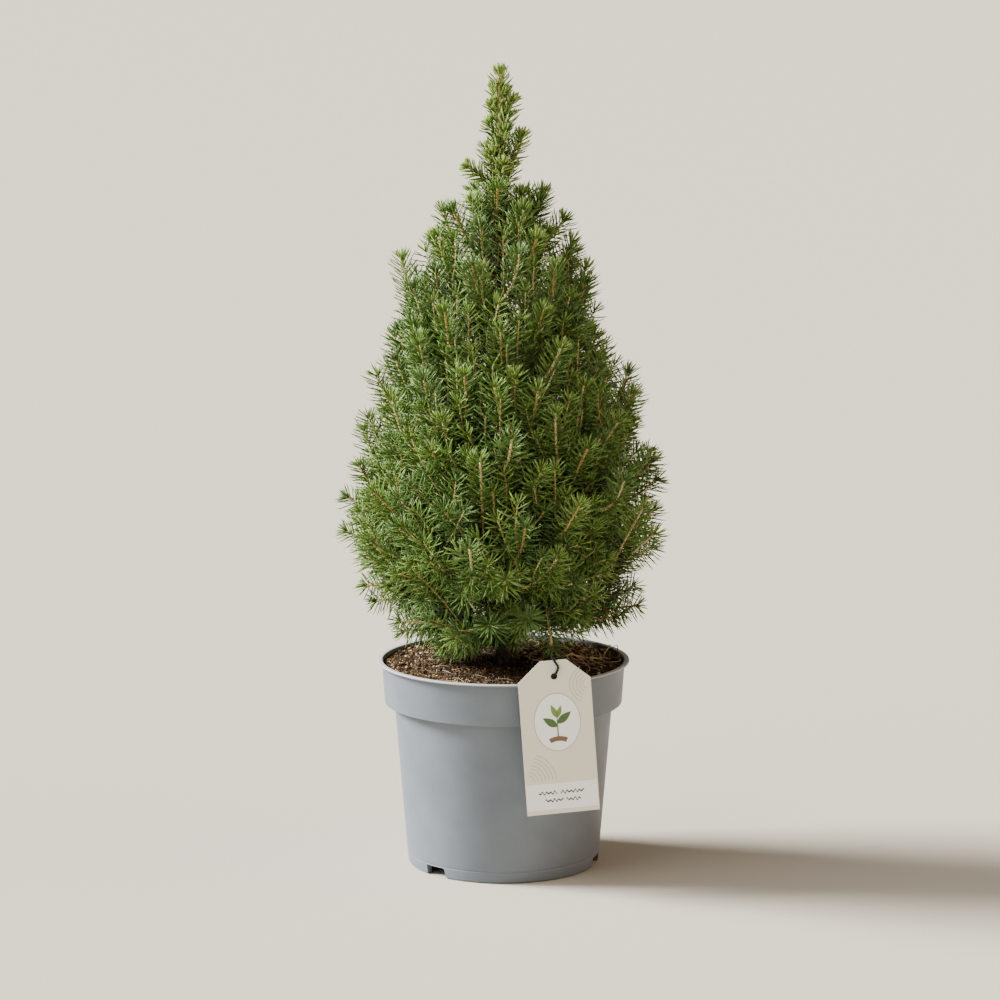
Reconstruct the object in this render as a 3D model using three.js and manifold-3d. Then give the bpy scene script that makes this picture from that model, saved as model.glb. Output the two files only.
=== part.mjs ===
// A dwarf Alberta spruce in a grey nursery pot, with a hang tag on a black string.
// Millimetres, +Z up. The origin is the middle of the pot's flat underside, and the photographed
// front faces -Y. The trunk stands on the potting mix, boughs leave the trunk, and each bough
// carries one mass of needled shoots that keeps to its own room in the crown.

import * as THREE from 'three';
import { mergeVertices } from 'three/addons/utils/BufferGeometryUtils.js';
import Module from 'manifold-3d';

const wasm = await Module();
wasm.setup();

// Pot: a 17 cm nursery pot with a tall collar and a flat lip
const POT_HEIGHT = 140;
const LIP_RADIUS = 85.5;
const LIP_THICKNESS = 3;
const LIP_ROUNDING = 0.6;
const COLLAR_HEIGHT = 29;
const COLLAR_TOP_RADIUS = 82.4;
const COLLAR_FOOT_RADIUS = 80.5;
const COLLAR_ROUNDING = 1;
const COLLAR_LEDGE = 0.5;
const BODY_TOP_RADIUS = 74;
const BASE_RADIUS = 65;
const BASE_ROUNDING = 1.5;
const WALL = 2;
const FOOT_RING = 2 * WALL;
const FLOOR_UNDERSIDE = 8;
const FLOOR_TOP = 10.5;
const MIDDLE_FOOT_RADIUS = 20;
const ROUND_STEPS = 32;
const DRAIN_COUNT = 3;
const DRAIN_WIDTH = 20;
const DRAIN_HEIGHT = 7;
const DRAIN_DEPTH = 12;
const FIRST_DRAIN_TURN = -43;

// Potting mix: it stops below the rim and rises a little towards the trunk
const MIX_BELOW_RIM = 7;
const MIX_RISE = 3.5;
// Shares of its radius, with the share of its rise that it reaches there
const MIX_SLOPE = [[0.7, 0.45], [0.35, 0.85]];
const MIX_TOP = POT_HEIGHT - MIX_BELOW_RIM + MIX_RISE;
const GAP = 0.3;

// Trunk
const TRUNK_FOOT = MIX_TOP + GAP;
const TRUNK_TOP = 490;
const TRUNK_FOOT_RADIUS = 6.6;
const TRUNK_TOP_RADIUS = 1.3;
const FLARE_RADIUS = 3.2;
const FLARE_HEIGHT = 9;
const TRUNK_SIDES = 9;
const TRUNK_STEPS = 17;
const TAPER_CURVE = 0.85;
const RING_CROWDING = 1.3;
const TRUNK_OFFSET = 2.5;
const TRUNK_LEAN = -6;
const TRUNK_SWAY = 1.6;
const SIDEWAYS_WAVES = 7;
const FORWARD_WAVES = 5;

// Crown outline: height, reach to the left of the photograph's middle and reach to the right
const CROWN_TOP = 537;
const CROWN_OUTLINE = [
  [146, 40, 44], [160, 60, 70], [172, 80, 90], [184, 93, 97], [200, 96, 95], [215, 106, 104],
  [235, 111, 107], [255, 107, 108], [280, 98, 108], [300, 97, 97], [335, 89, 89], [365, 77, 71],
  [400, 72, 66], [417, 66, 58], [431, 51, 48], [449, 45, 42], [458, 29, 32], [474, 28, 15],
  [505, 15, 14], [527, 12, 9], [CROWN_TOP, 4, 4],
];
const LOWEST_NEEDLE = 146;

// The way things grow: degrees above level at the crown's foot and top, and the extra inside it
const GROWTH_FOOT = 150;
const GROWTH_RISE = 300;
const LOWEST_CLIMB = -14;
const HIGHEST_CLIMB = 74;
const CLIMB_CURVE = 0.62;
const INNER_CLIMB = 16;
const WANDER = 0.16;

// Boughs: they leave the trunk in a spiral, the low ones flat and the high ones steep, and end
// where they enter their mass, at a share of the crown's reach
const BOUGH_COUNT = 18;
const FIRST_BOUGH_HEIGHT = 151;
const LAST_BOUGH_HEIGHT = 352;
const FIRST_BOUGH_CLIMB = 4;
const LAST_BOUGH_CLIMB = 50;
const SPIRAL_TURN = 137.508;
const FIRST_BOUGH_TURN = 205;
const TURN_SPREAD = 14;
const BOUGH_FOOT_RADIUS = 2.5;
const BOUGH_TIP_RADIUS = 1.3;
const BOUGH_SHARE = 0.46;
const BOUGH_SHARE_SPREAD = 0.08;
const LONGEST_BOUGH = 90;
const BOUGH_STEP = 11;
const BOUGH_BEND = 0.12;
const LIMB_SIDES = 5;
const BARK_SLACK = 0.15;
const STEM_SLACK = 0.05;

// Stems of the masses: one on each bough, some on the upper trunk, and the leader
const UPPER_MASS_COUNT = 10;
const FIRST_UPPER_HEIGHT = 366;
const LAST_UPPER_HEIGHT = 474;
const FIRST_UPPER_CLIMB = 42;
const LAST_UPPER_CLIMB = 58;
const STEM_RADIUS = 1.2;
const STEM_STEP = 9;
const STEM_BEND = 0.16;
const UPPER_STEM_BEND = 0.13;
const LONGEST_STEM = 110;
const STEM_SHARE = 0.93;

// Rooms and cores of the masses
const ROOM_GAP = 0.8;
const ROOM_SITE = 0.55;
const LIMB_STRETCH = 60;
const CORE_SHARE = 0.64;
const CORE_POINT_SHARE = 0.74;
const CORE_PLACE = 0.22;
const CORE_SPREAD = 0.25;
const LEAST_CORE_REACH = 46;
const LARGEST_CORE = 60;

// Needled shoots: how much of the crown's surface each has, and its needles
const CROWN_PER_SHOOT = 1120;
const LOWEST_SHOOT = 154;
const LEAST_SPIRAL_REACH = 18;
const SHOOT_SPREAD = 0.1;
const SPREAD_INWARD = 0.6;
const TIP_INSIDE = 6.5;
const LEAST_TIP_SHARE = 0.4;
const SLOPE_STEP = 4;
const SHOOT_FOOT_RADIUS = 0.6;
const SHOOT_RADIUS = 1.7;
const SHOOT_STEP = 12;
const LONG_SHOOT = 48;
const NEEDLED_STEPS = 2;
const MOST_NEEDLED = 0.8;
const SHOOT_BEND = 0.45;
const ROOTED_SHARE = 0.85;
const NEEDLE_OUT = 9.5;
const NEEDLE_FORWARD = 10;
const NEEDLE_SIDEWAYS = 4;
const SHOOT_CLEAR = 3.4;
const NEEDLE_CLEAR = 2.2;
const BUD_LENGTH = 9;
const LEAST_TIP_GAP = 10;
const FULL_AT = 0.5;
const SEED = 0x51c0a;

// Hang tag, hanging in front of the collar on a string that comes from the trunk's foot
const TAG_WIDTH = 48;
const TAG_LENGTH = 103;
const TAG_THICKNESS = 0.7;
const TAG_SHOULDER = 15.4;
const TAG_SHOULDER_DROP = 13.5;
const TAG_HOLE_RADIUS = 2.2;
const TAG_HOLE_BELOW_TOP = 10.8;
const TAG_MIDDLE = [36, 105.3];
const TAG_TILT = 4.2;
const TAG_TURN = 6;
const STRING_RADIUS = 0.7;
const STRING_SIDES = 6;

// Room kept clear of foliage round the trunk, the tag's top and the string
const TRUNK_SAMPLES = 40;
const TAG_CLEAR = 2;
const STRING_CLEAR = 0.5;

const MATERIALS = {
  pot: new THREE.MeshStandardMaterial({ color: 0x8f969b, roughness: 0.6, metalness: 0 }),
  mix: new THREE.MeshStandardMaterial({ color: 0x5b3f29, roughness: 1, metalness: 0 }),
  bark: new THREE.MeshStandardMaterial({ color: 0x7a5332, roughness: 0.9, metalness: 0 }),
  needles: new THREE.MeshStandardMaterial({ color: 0x4f6a2e, roughness: 0.7, metalness: 0 }),
  card: new THREE.MeshStandardMaterial({ color: 0xcdc6b9, roughness: 0.7, metalness: 0 }),
  string: new THREE.MeshStandardMaterial({ color: 0x17171a, roughness: 0.8, metalness: 0 }),
};

const radians = THREE.MathUtils.degToRad;
const lerp = THREE.MathUtils.lerp;
const clamp = THREE.MathUtils.clamp;
const vec = (x, y, z) => new THREE.Vector3(x, y, z);
const UP = vec(0, 0, 1);

// A number from 0 to 1 that is always the same for the same whole-number keys
function chance(...keys) {
  let mixed = SEED;
  for (const key of keys) {
    mixed = Math.imul(mixed ^ (key + 0x9e3779b9), 0x85ebca6b);
    mixed ^= mixed >>> 13;
  }
  mixed = Math.imul(mixed, 0xc2b2ae35);
  return ((mixed ^ (mixed >>> 16)) >>> 0) / 4294967296;
}

// Keeps only the places of the corners, so that shared corners are one
function bare(geometry) {
  geometry.deleteAttribute('normal');
  geometry.deleteAttribute('uv');
  return mergeVertices(geometry);
}

function toSolid(geometry) {
  const merged = bare(geometry);
  return new wasm.Manifold(new wasm.Mesh({
    numProp: 3,
    vertProperties: new Float32Array(merged.attributes.position.array),
    triVerts: new Uint32Array(merged.index.array),
  }));
}

// The largest body of a solid, as geometry: scraps that a cut leaves loose are dropped
function toGeometry(solid) {
  const bodies = solid.decompose().sort((a, b) => b.volume() - a.volume());
  const mesh = bodies[0].getMesh();
  const geometry = new THREE.BufferGeometry();
  geometry.setAttribute('position', new THREE.BufferAttribute(mesh.vertProperties, 3));
  geometry.setIndex(new THREE.BufferAttribute(mesh.triVerts, 1));
  return geometry;
}

// A frame at each point of a path that turns with it and never twists
function framesAlong(points) {
  const frames = [];
  let across = null;
  for (let k = 0; k < points.length; k++) {
    const before = points[Math.max(k - 1, 0)];
    const after = points[Math.min(k + 1, points.length - 1)];
    const along = after.clone().sub(before).normalize();
    if (!across) across = Math.abs(along.z) < 0.9 ? UP.clone() : vec(1, 0, 0);
    across = across.clone().addScaledVector(along, -across.dot(along)).normalize();
    frames.push({ along, across, other: across.clone().cross(along).normalize() });
  }
  return frames;
}

// A tapering limb: a cylinder bent along the points. The tip may run on to a point, and
// raise gives the place of the needle point that stands on a side face, or null.
function limbGeometry(points, radii, sides, tipLength = 0, raise = () => null) {
  const steps = points.length - 1;
  const frames = framesAlong(points);
  const straight = new THREE.CylinderGeometry(1, 1, steps, sides, steps);
  const place = straight.attributes.position;
  const corners = [];
  for (let v = 0; v < place.count; v++) {
    const k = Math.round(place.getY(v) + steps / 2);
    const { along, across, other } = frames[k];
    const corner = points[k].clone()
      .addScaledVector(across, place.getX(v) * radii[k])
      .addScaledVector(other, place.getZ(v) * radii[k]);
    const onAxis = Math.hypot(place.getX(v), place.getZ(v)) < 0.5;
    if (onAxis && k === steps) corner.addScaledVector(along, tipLength);
    corners.push(corner);
  }
  const sideFaces = sides * steps * 2;
  const out = [];
  const keep = (...faceCorners) => faceCorners.forEach((c) => out.push(c.x, c.y, c.z));
  for (let f = 0; f < straight.index.count / 3; f++) {
    const [a, b, c] = [0, 1, 2].map((n) => corners[straight.index.getX(3 * f + n)]);
    const point = f < sideFaces ? raise(a, b, c, frames) : null;
    if (point) {
      keep(a, b, point);
      keep(b, c, point);
      keep(c, a, point);
    } else {
      keep(a, b, c);
    }
  }
  const geometry = new THREE.BufferGeometry();
  geometry.setAttribute('position', new THREE.Float32BufferAttribute(out, 3));
  return mergeVertices(geometry);
}

const group = new THREE.Group();

function addPart(name, geometry, material) {
  const mesh = new THREE.Mesh(geometry, material);
  mesh.name = name;
  group.add(mesh);
}

// A closed profile of radius and height points, turned about the vertical axis
function turned(profile) {
  const outline = profile.map(([radius, height]) => new THREE.Vector2(radius, height));
  const geometry = new THREE.LatheGeometry(outline, ROUND_STEPS);
  geometry.rotateX(Math.PI / 2);
  return geometry;
}

// Points of a quarter round from one radius and height to another, the level end first or last
function rounded(from, to, levelFirst, steps = 3) {
  const points = [];
  for (let k = 0; k <= steps; k++) {
    const angle = (k / steps) * (Math.PI / 2);
    const run = levelFirst ? Math.sin(angle) : 1 - Math.cos(angle);
    const climb = levelFirst ? 1 - Math.cos(angle) : Math.sin(angle);
    points.push([lerp(from[0], to[0], run), lerp(from[1], to[1], climb)]);
  }
  return points;
}

function potGeometry() {
  const collarFoot = POT_HEIGHT - COLLAR_HEIGHT;
  const bodyTop = collarFoot - COLLAR_ROUNDING;
  const outside = [
    [0, 0],
    [MIDDLE_FOOT_RADIUS, 0],
    [MIDDLE_FOOT_RADIUS + 1, FLOOR_UNDERSIDE],
    [BASE_RADIUS - FOOT_RING, FLOOR_UNDERSIDE],
    [BASE_RADIUS - FOOT_RING, 0],
    ...rounded([BASE_RADIUS - BASE_ROUNDING, 0], [BASE_RADIUS, BASE_ROUNDING], true, 2),
    [BODY_TOP_RADIUS, bodyTop],
    ...rounded([BODY_TOP_RADIUS + COLLAR_LEDGE, bodyTop], [COLLAR_FOOT_RADIUS, collarFoot], true),
    [COLLAR_TOP_RADIUS, POT_HEIGHT - LIP_THICKNESS],
    [LIP_RADIUS - LIP_ROUNDING, POT_HEIGHT - LIP_THICKNESS + LIP_ROUNDING / 2],
    [LIP_RADIUS, POT_HEIGHT - LIP_THICKNESS / 2],
    [LIP_RADIUS - LIP_ROUNDING, POT_HEIGHT],
  ];
  const inside = [
    [COLLAR_TOP_RADIUS - WALL + LIP_ROUNDING, POT_HEIGHT],
    [COLLAR_TOP_RADIUS - WALL, POT_HEIGHT - LIP_ROUNDING],
    [COLLAR_FOOT_RADIUS - WALL, collarFoot + WALL],
    [BODY_TOP_RADIUS - WALL, bodyTop + WALL],
    [BASE_RADIUS - WALL, FLOOR_TOP],
    [0, FLOOR_TOP],
  ];
  let pot = toSolid(turned([...outside, ...inside]));
  for (let k = 0; k < DRAIN_COUNT; k++) {
    const cutter = new THREE.BoxGeometry(DRAIN_WIDTH, DRAIN_DEPTH, 2 * DRAIN_HEIGHT);
    cutter.translate(0, -BASE_RADIUS, 0);
    cutter.rotateZ(radians(FIRST_DRAIN_TURN + (k * 360) / DRAIN_COUNT));
    pot = pot.subtract(toSolid(cutter));
  }
  return toGeometry(pot);
}

function mixGeometry() {
  const collarFoot = POT_HEIGHT - COLLAR_HEIGHT;
  const bodyTop = collarFoot - COLLAR_ROUNDING;
  const edge = POT_HEIGHT - MIX_BELOW_RIM;
  const up = (edge - collarFoot) / COLLAR_HEIGHT;
  const edgeRadius = lerp(COLLAR_FOOT_RADIUS, COLLAR_TOP_RADIUS, up) - WALL - 2 * GAP;
  return bare(turned([
    [0, FLOOR_TOP + GAP],
    [BASE_RADIUS - WALL - GAP, FLOOR_TOP + GAP],
    [BODY_TOP_RADIUS - WALL - GAP, bodyTop + WALL + GAP],
    [COLLAR_FOOT_RADIUS - WALL - GAP, collarFoot + WALL + GAP],
    [edgeRadius, edge],
    ...MIX_SLOPE.map(([out, rise]) => [edgeRadius * out, edge + MIX_RISE * rise]),
    [2 * (TRUNK_FOOT_RADIUS + FLARE_RADIUS), MIX_TOP],
    [0, MIX_TOP],
  ]));
}

// The trunk's middle and radius at a height
function trunkMiddle(height) {
  const share = (height - TRUNK_FOOT) / (CROWN_TOP - TRUNK_FOOT);
  const x = TRUNK_OFFSET + TRUNK_LEAN * share + TRUNK_SWAY * Math.sin(SIDEWAYS_WAVES * share);
  return vec(x, TRUNK_SWAY * Math.sin(FORWARD_WAVES * share + 1), height);
}

function trunkRadius(height) {
  const share = (height - TRUNK_FOOT) / (TRUNK_TOP - TRUNK_FOOT);
  const flare = FLARE_RADIUS * Math.exp(-(height - TRUNK_FOOT) / FLARE_HEIGHT);
  return lerp(TRUNK_FOOT_RADIUS, TRUNK_TOP_RADIUS, clamp(share, 0, 1) ** TAPER_CURVE) + flare;
}

function trunkGeometry() {
  const points = [];
  const radii = [];
  for (let k = 0; k <= TRUNK_STEPS; k++) {
    const height = lerp(TRUNK_FOOT, TRUNK_TOP, (k / TRUNK_STEPS) ** RING_CROWDING);
    points.push(trunkMiddle(height));
    radii.push(trunkRadius(height));
  }
  // The first ring lies level, so that the foot is a flat cut
  points[0].setX(points[1].x);
  points[0].setY(points[1].y);
  return limbGeometry(points, radii, TRUNK_SIDES);
}

// How far the crown reaches from the axis at a height, on the side that a direction points to
function crownReach(height, x, y) {
  const rows = CROWN_OUTLINE;
  const last = rows.length - 1;
  if (height <= rows[0][0] || height >= rows[last][0]) return 0;
  const k = rows.findIndex((row) => row[0] > height);
  const share = (height - rows[k - 1][0]) / (rows[k][0] - rows[k - 1][0]);
  const left = lerp(rows[k - 1][1], rows[k][1], share);
  const right = lerp(rows[k - 1][2], rows[k][2], share);
  const side = x / (Math.hypot(x, y) + 1e-9);
  return lerp(left, right, (side + 1) / 2);
}

const crownShare = (p) => Math.hypot(p.x, p.y) / Math.max(crownReach(p.z, p.x, p.y), 0.1);

// The way that a shoot turns at a place: flat low down and outside, upright high up and inside
function growth(p) {
  const share = clamp(crownShare(p), 0, 1);
  const high = clamp((p.z - GROWTH_FOOT) / GROWTH_RISE, 0, 1);
  const climb = radians(lerp(LOWEST_CLIMB, HIGHEST_CLIMB, high ** CLIMB_CURVE)
    + INNER_CLIMB * (1 - share) * high);
  const away = vec(p.x, p.y, 0).normalize();
  return away.multiplyScalar(Math.cos(climb)).addScaledVector(UP, Math.sin(climb));
}

// Grows a path from a place until it has gone its length or done says that it has arrived
function grow(start, heading, step, length, turn, done, ...keys) {
  const points = [start.clone()];
  const way = heading.clone().normalize();
  for (let k = 0; k * step < length; k++) {
    const last = points[points.length - 1];
    if (k > 0) {
      const wander = vec(chance(1, k, ...keys), chance(2, k, ...keys), chance(3, k, ...keys));
      way.lerp(growth(last), turn).addScaledVector(wander.subScalar(0.5), WANDER).normalize();
    }
    const next = last.clone().addScaledVector(way, Math.min(step, length - k * step));
    if (done(next)) break;
    points.push(next);
  }
  return points;
}

// A way that points from the axis at a turn and climbs by an angle, both in degrees
function wayOut(turn, climb) {
  const away = vec(Math.cos(radians(turn)), Math.sin(radians(turn)), 0);
  const heading = away.clone().multiplyScalar(Math.cos(radians(climb)));
  return { away, heading: heading.addScaledVector(UP, Math.sin(radians(climb))) };
}

// The place beside the trunk where a limb of a radius starts, clear of the bark
function besideTrunk(height, away, heading, radius) {
  const clear = trunkRadius(height - radius) + GAP + radius * heading.z;
  return trunkMiddle(height).addScaledVector(away, clear + BARK_SLACK);
}

function boughs() {
  const list = [];
  for (let i = 0; i < BOUGH_COUNT; i++) {
    const share = i / (BOUGH_COUNT - 1);
    const height = lerp(FIRST_BOUGH_HEIGHT, LAST_BOUGH_HEIGHT, share);
    const turn = FIRST_BOUGH_TURN + i * SPIRAL_TURN + TURN_SPREAD * (chance(i, 7) - 0.5);
    const { away, heading } = wayOut(turn, lerp(FIRST_BOUGH_CLIMB, LAST_BOUGH_CLIMB, share));
    const start = besideTrunk(height, away, heading, BOUGH_FOOT_RADIUS);
    const end = BOUGH_SHARE + BOUGH_SHARE_SPREAD * (chance(i, 8) - 0.5);
    const arrived = (p) => crownShare(p) > end;
    const points = grow(start, heading, BOUGH_STEP, LONGEST_BOUGH, BOUGH_BEND, arrived, i, 11);
    const last = points.length - 1;
    const radii = points.map((p, k) => lerp(BOUGH_FOOT_RADIUS, BOUGH_TIP_RADIUS, k / last));
    list.push({ points, radii });
  }
  return list;
}

// The tag's corners lie in a plane that faces the front, tilted a little about its normal
function tagFrame() {
  const turn = radians(TAG_TURN);
  const across = vec(Math.cos(turn), Math.sin(turn), 0);
  const back = vec(-Math.sin(turn), Math.cos(turn), 0);
  const seat = vec(0, -LIP_RADIUS - GAP - TAG_THICKNESS, 0);
  const middle = vec(TAG_MIDDLE[0], seat.y + TAG_MIDDLE[0] * Math.tan(turn) / 2, TAG_MIDDLE[1]);
  return { across, back, middle };
}

function tagPoint(right, up, depth) {
  const { across, back, middle } = tagFrame();
  const tilt = radians(TAG_TILT);
  const r = right * Math.cos(tilt) - up * Math.sin(tilt);
  const u = right * Math.sin(tilt) + up * Math.cos(tilt);
  return middle.clone().addScaledVector(across, r).addScaledVector(UP, u).addScaledVector(back, depth);
}

function tagGeometry() {
  const [w, h] = [TAG_WIDTH / 2, TAG_LENGTH / 2];
  const card = new THREE.Shape();
  card.moveTo(-w, -h);
  card.lineTo(w, -h);
  card.lineTo(w, h - TAG_SHOULDER_DROP);
  card.lineTo(w - TAG_SHOULDER, h);
  card.lineTo(-w + TAG_SHOULDER, h);
  card.lineTo(-w, h - TAG_SHOULDER_DROP);
  card.closePath();
  const hole = new THREE.Path();
  hole.absarc(0, h - TAG_HOLE_BELOW_TOP, TAG_HOLE_RADIUS, 0, 2 * Math.PI, true);
  card.holes.push(hole);
  const options = { depth: TAG_THICKNESS, bevelEnabled: false, curveSegments: 8 };
  const geometry = bare(new THREE.ExtrudeGeometry(card, options));
  const place = geometry.attributes.position;
  for (let v = 0; v < place.count; v++) {
    const p = tagPoint(place.getX(v), place.getY(v), TAG_THICKNESS - place.getZ(v));
    place.setXYZ(v, p.x, p.y, p.z);
  }
  return geometry;
}

// The string: from the trunk's foot over the tag's top edge, through its hole and back
function stringPath() {
  const clear = STRING_RADIUS + GAP;
  const hole = TAG_LENGTH / 2 - TAG_HOLE_BELOW_TOP;
  const top = TAG_LENGTH / 2;
  const front = -clear;
  const behind = TAG_THICKNESS + clear;
  const overRim = POT_HEIGHT + clear + 2;
  const foot = trunkMiddle(TRUNK_FOOT + 4);
  const reach = trunkRadius(TRUNK_FOOT + 4) + clear;
  return [
    foot.clone().add(vec(reach * 0.5, -reach * 0.87, 0.6)),
    vec(14, -32, MIX_TOP + 5.5),
    vec(23, -58, MIX_TOP + 10),
    tagPoint(-1, top - 2, 8),
    tagPoint(-0.5, top + 0.6, behind + 1.2),
    tagPoint(0, top + clear + 0.2, TAG_THICKNESS / 2),
    tagPoint(0.4, top - 0.6, front - 0.2),
    tagPoint(0.3, (top + hole) / 2, front),
    tagPoint(0, hole + 1.2, front),
    tagPoint(0, hole + 0.3, front + 0.5),
    tagPoint(0, hole, TAG_THICKNESS / 2),
    tagPoint(0, hole - 0.1, behind - 0.3),
    tagPoint(0.6, hole + 0.6, behind + 1.4),
    tagPoint(1, hole, 8),
    vec(27, -56, overRim + 0.5),
    vec(19, -31, MIX_TOP + 2.2),
    foot.clone().add(vec(reach * 0.87, -reach * 0.5, -1.6)),
  ];
}

function stringGeometry() {
  const smooth = new THREE.CatmullRomCurve3(stringPath(), false, 'centripetal');
  const points = smooth.getPoints(2 * (stringPath().length - 1));
  return limbGeometry(points, points.map(() => STRING_RADIUS), STRING_SIDES);
}

// The masses' stems: one from the tip of each bough, then those that leave the upper trunk,
// and the leader that goes on from the trunk's tip. A stem's wall is the plane behind its foot.
function stems(boughList) {
  const arrived = (p) => crownShare(p) > STEM_SHARE || p.z > CROWN_TOP - BUD_LENGTH;
  const list = boughList.map((bough, i) => {
    const tip = bough.points[bough.points.length - 1];
    const heading = framesAlong(bough.points).pop().along;
    const start = tip.clone().addScaledVector(heading, GAP + STEM_SLACK);
    return {
      name: `mass_${String(i + 1).padStart(2, '0')}`,
      wall: { normal: heading, offset: heading.dot(tip) + GAP },
      points: grow(start, heading, STEM_STEP, LONGEST_STEM, STEM_BEND, arrived, i, 21),
    };
  });
  for (let i = 0; i < UPPER_MASS_COUNT; i++) {
    const share = i / (UPPER_MASS_COUNT - 1);
    const height = lerp(FIRST_UPPER_HEIGHT, LAST_UPPER_HEIGHT, share);
    const turn = FIRST_BOUGH_TURN + (BOUGH_COUNT + i) * SPIRAL_TURN;
    const { away, heading } = wayOut(turn, lerp(FIRST_UPPER_CLIMB, LAST_UPPER_CLIMB, share));
    const start = besideTrunk(height, away, heading, STEM_RADIUS);
    const bark = away.dot(trunkMiddle(height)) + trunkRadius(height - STEM_RADIUS);
    list.push({
      name: `upper_mass_${String(i + 1).padStart(2, '0')}`,
      wall: { normal: away, offset: bark + GAP - STEM_SLACK },
      points: grow(start, heading, STEM_STEP, LONGEST_STEM, UPPER_STEM_BEND, arrived, i, 22),
    });
  }
  const points = [trunkMiddle(TRUNK_TOP).addScaledVector(UP, GAP + STEM_SLACK)];
  while (points[points.length - 1].z < CROWN_TOP - BUD_LENGTH - STEM_STEP) {
    points.push(trunkMiddle(points[points.length - 1].z + STEM_STEP));
  }
  list.push({
    name: 'leader_mass',
    wall: { normal: UP.clone(), offset: TRUNK_TOP + GAP },
    points,
  });
  return list;
}

// The nearest place on a path to a point, with the limb's radius there where radii are given
function nearestOn(points, p, radii = points.map(() => 0)) {
  let best = { distance: Infinity };
  for (let k = 0; k + 1 < points.length; k++) {
    const stretch = new THREE.Line3(points[k], points[k + 1]);
    const share = stretch.closestPointToPointParameter(p, true);
    const place = stretch.at(share, vec(0, 0, 0));
    const distance = place.distanceTo(p);
    if (distance < best.distance) {
      best = { distance, place, step: k, radius: lerp(radii[k], radii[k + 1], share) };
    }
  }
  return best;
}

// A mass's room in the crown is bounded by planes: one half-way to each other mass, one
// before each limb that passes by, and one at the limb that carries it
function rooms(massStems, limbs) {
  const sites = massStems.map(({ points }) => points[Math.floor(points.length * ROOM_SITE)]);
  return massStems.map((stem, i) => {
    const site = sites[i];
    const planes = [stem.wall, { normal: UP, offset: LOWEST_NEEDLE }];
    sites.forEach((other, j) => {
      if (j === i) return;
      const normal = site.clone().sub(other).normalize();
      planes.push({ normal, offset: normal.dot(site.clone().add(other)) / 2 + ROOM_GAP / 2 });
    });
    for (const limb of limbs) {
      if (limb.owner === i) continue;
      const near = nearestOn(limb.points, site, limb.radii);
      const normal = site.clone().sub(near.place).normalize();
      if (limb.upright) normal.setZ(0).normalize();
      let offset = -Infinity;
      limb.points.forEach((p, k) => {
        if (p.distanceTo(near.place) > LIMB_STRETCH) return;
        offset = Math.max(offset, normal.dot(p) + limb.radii[k]);
      });
      if (normal.dot(site) < offset + SHOOT_CLEAR) offset = normal.dot(near.place) + near.radius;
      planes.push({ normal, offset: offset + ROOM_GAP });
    }
    return { planes };
  });
}

const holds = (room, p, slack = 0) => room.planes.every((w) => w.normal.dot(p) > w.offset - slack);

const inCore = (p) => crownReach(p.z, p.x, p.y) > LEAST_CORE_REACH && crownShare(p) < CORE_SHARE;

// How far a room goes from its middle along a way, within a share of the crown's reach
function roomAlong(room, middle, way, share) {
  for (let out = 2; out < LARGEST_CORE; out++) {
    const next = middle.clone().addScaledVector(way, out + 1);
    if (!holds(room, next) || crownShare(next) > share) return out;
  }
  return LARGEST_CORE;
}

// The dense middle of a mass: a ball whose corners go out as far as its room allows, with a
// point raised on each of its faces
function coreGeometry(room, middle, key) {
  const ball = new THREE.IcosahedronGeometry(1, 0).attributes.position;
  const corners = Array.from({ length: ball.count }, (unused, v) => {
    const way = new THREE.Vector3().fromBufferAttribute(ball, v);
    const sameCorner = Math.round(1000 * (way.x + 2 * way.y + 3 * way.z));
    const size = 1 - CORE_SPREAD * chance(key, sameCorner, 31);
    return middle.clone().addScaledVector(way, size * roomAlong(room, middle, way, CORE_SHARE));
  });
  const out = [];
  for (let v = 0; v < corners.length; v += 3) {
    const [a, b, c] = corners.slice(v, v + 3);
    const way = a.clone().add(b).add(c).divideScalar(3).sub(middle).normalize();
    const far = roomAlong(room, middle, way, CORE_POINT_SHARE) - ROOM_GAP;
    const point = middle.clone().addScaledVector(way, far);
    for (const corner of [a, b, point, b, c, point, c, a, point]) out.push(...corner.toArray());
  }
  const geometry = new THREE.BufferGeometry();
  geometry.setAttribute('position', new THREE.Float32BufferAttribute(out, 3));
  return mergeVertices(geometry);
}

// A needled shoot: a three-sided twig whose last faces each rise to a needle's point. A needle
// that would leave the room, or come close to another shoot or needle of the mass, is skipped.
function shootGeometry(room, points, radii, needledSteps, otherPaths, needles) {
  const own = [];
  const crowded = (p) => otherPaths.some((path) => nearestOn(path, p).distance < SHOOT_CLEAR)
    || needles.some((needle) => nearestOn(needle, p).distance < NEEDLE_CLEAR);
  const raise = (a, b, c, frames) => {
    const middle = a.clone().add(b).add(c).divideScalar(3);
    const near = nearestOn(points, middle);
    if (near.step < points.length - 1 - needledSteps || inCore(middle)) return null;
    const { along } = frames[near.step + 1];
    const out = b.clone().sub(a).cross(c.clone().sub(a)).normalize();
    const side = out.clone().cross(along).normalize();
    const lean = Math.sign(middle.clone().sub(near.place).dot(side)) || 1;
    const point = middle.clone()
      .addScaledVector(out, NEEDLE_OUT)
      .addScaledVector(along, NEEDLE_FORWARD)
      .addScaledVector(side, lean * NEEDLE_SIDEWAYS);
    const tested = [1, 0.7, 0.4].map((share) => middle.clone().lerp(point, share));
    if (!holds(room, point) || tested.some(crowded)) return null;
    own.push([middle, point]);
    return point;
  };
  const geometry = limbGeometry(points, radii, 3, BUD_LENGTH, raise);
  needles.push(...own);
  return geometry;
}

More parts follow.
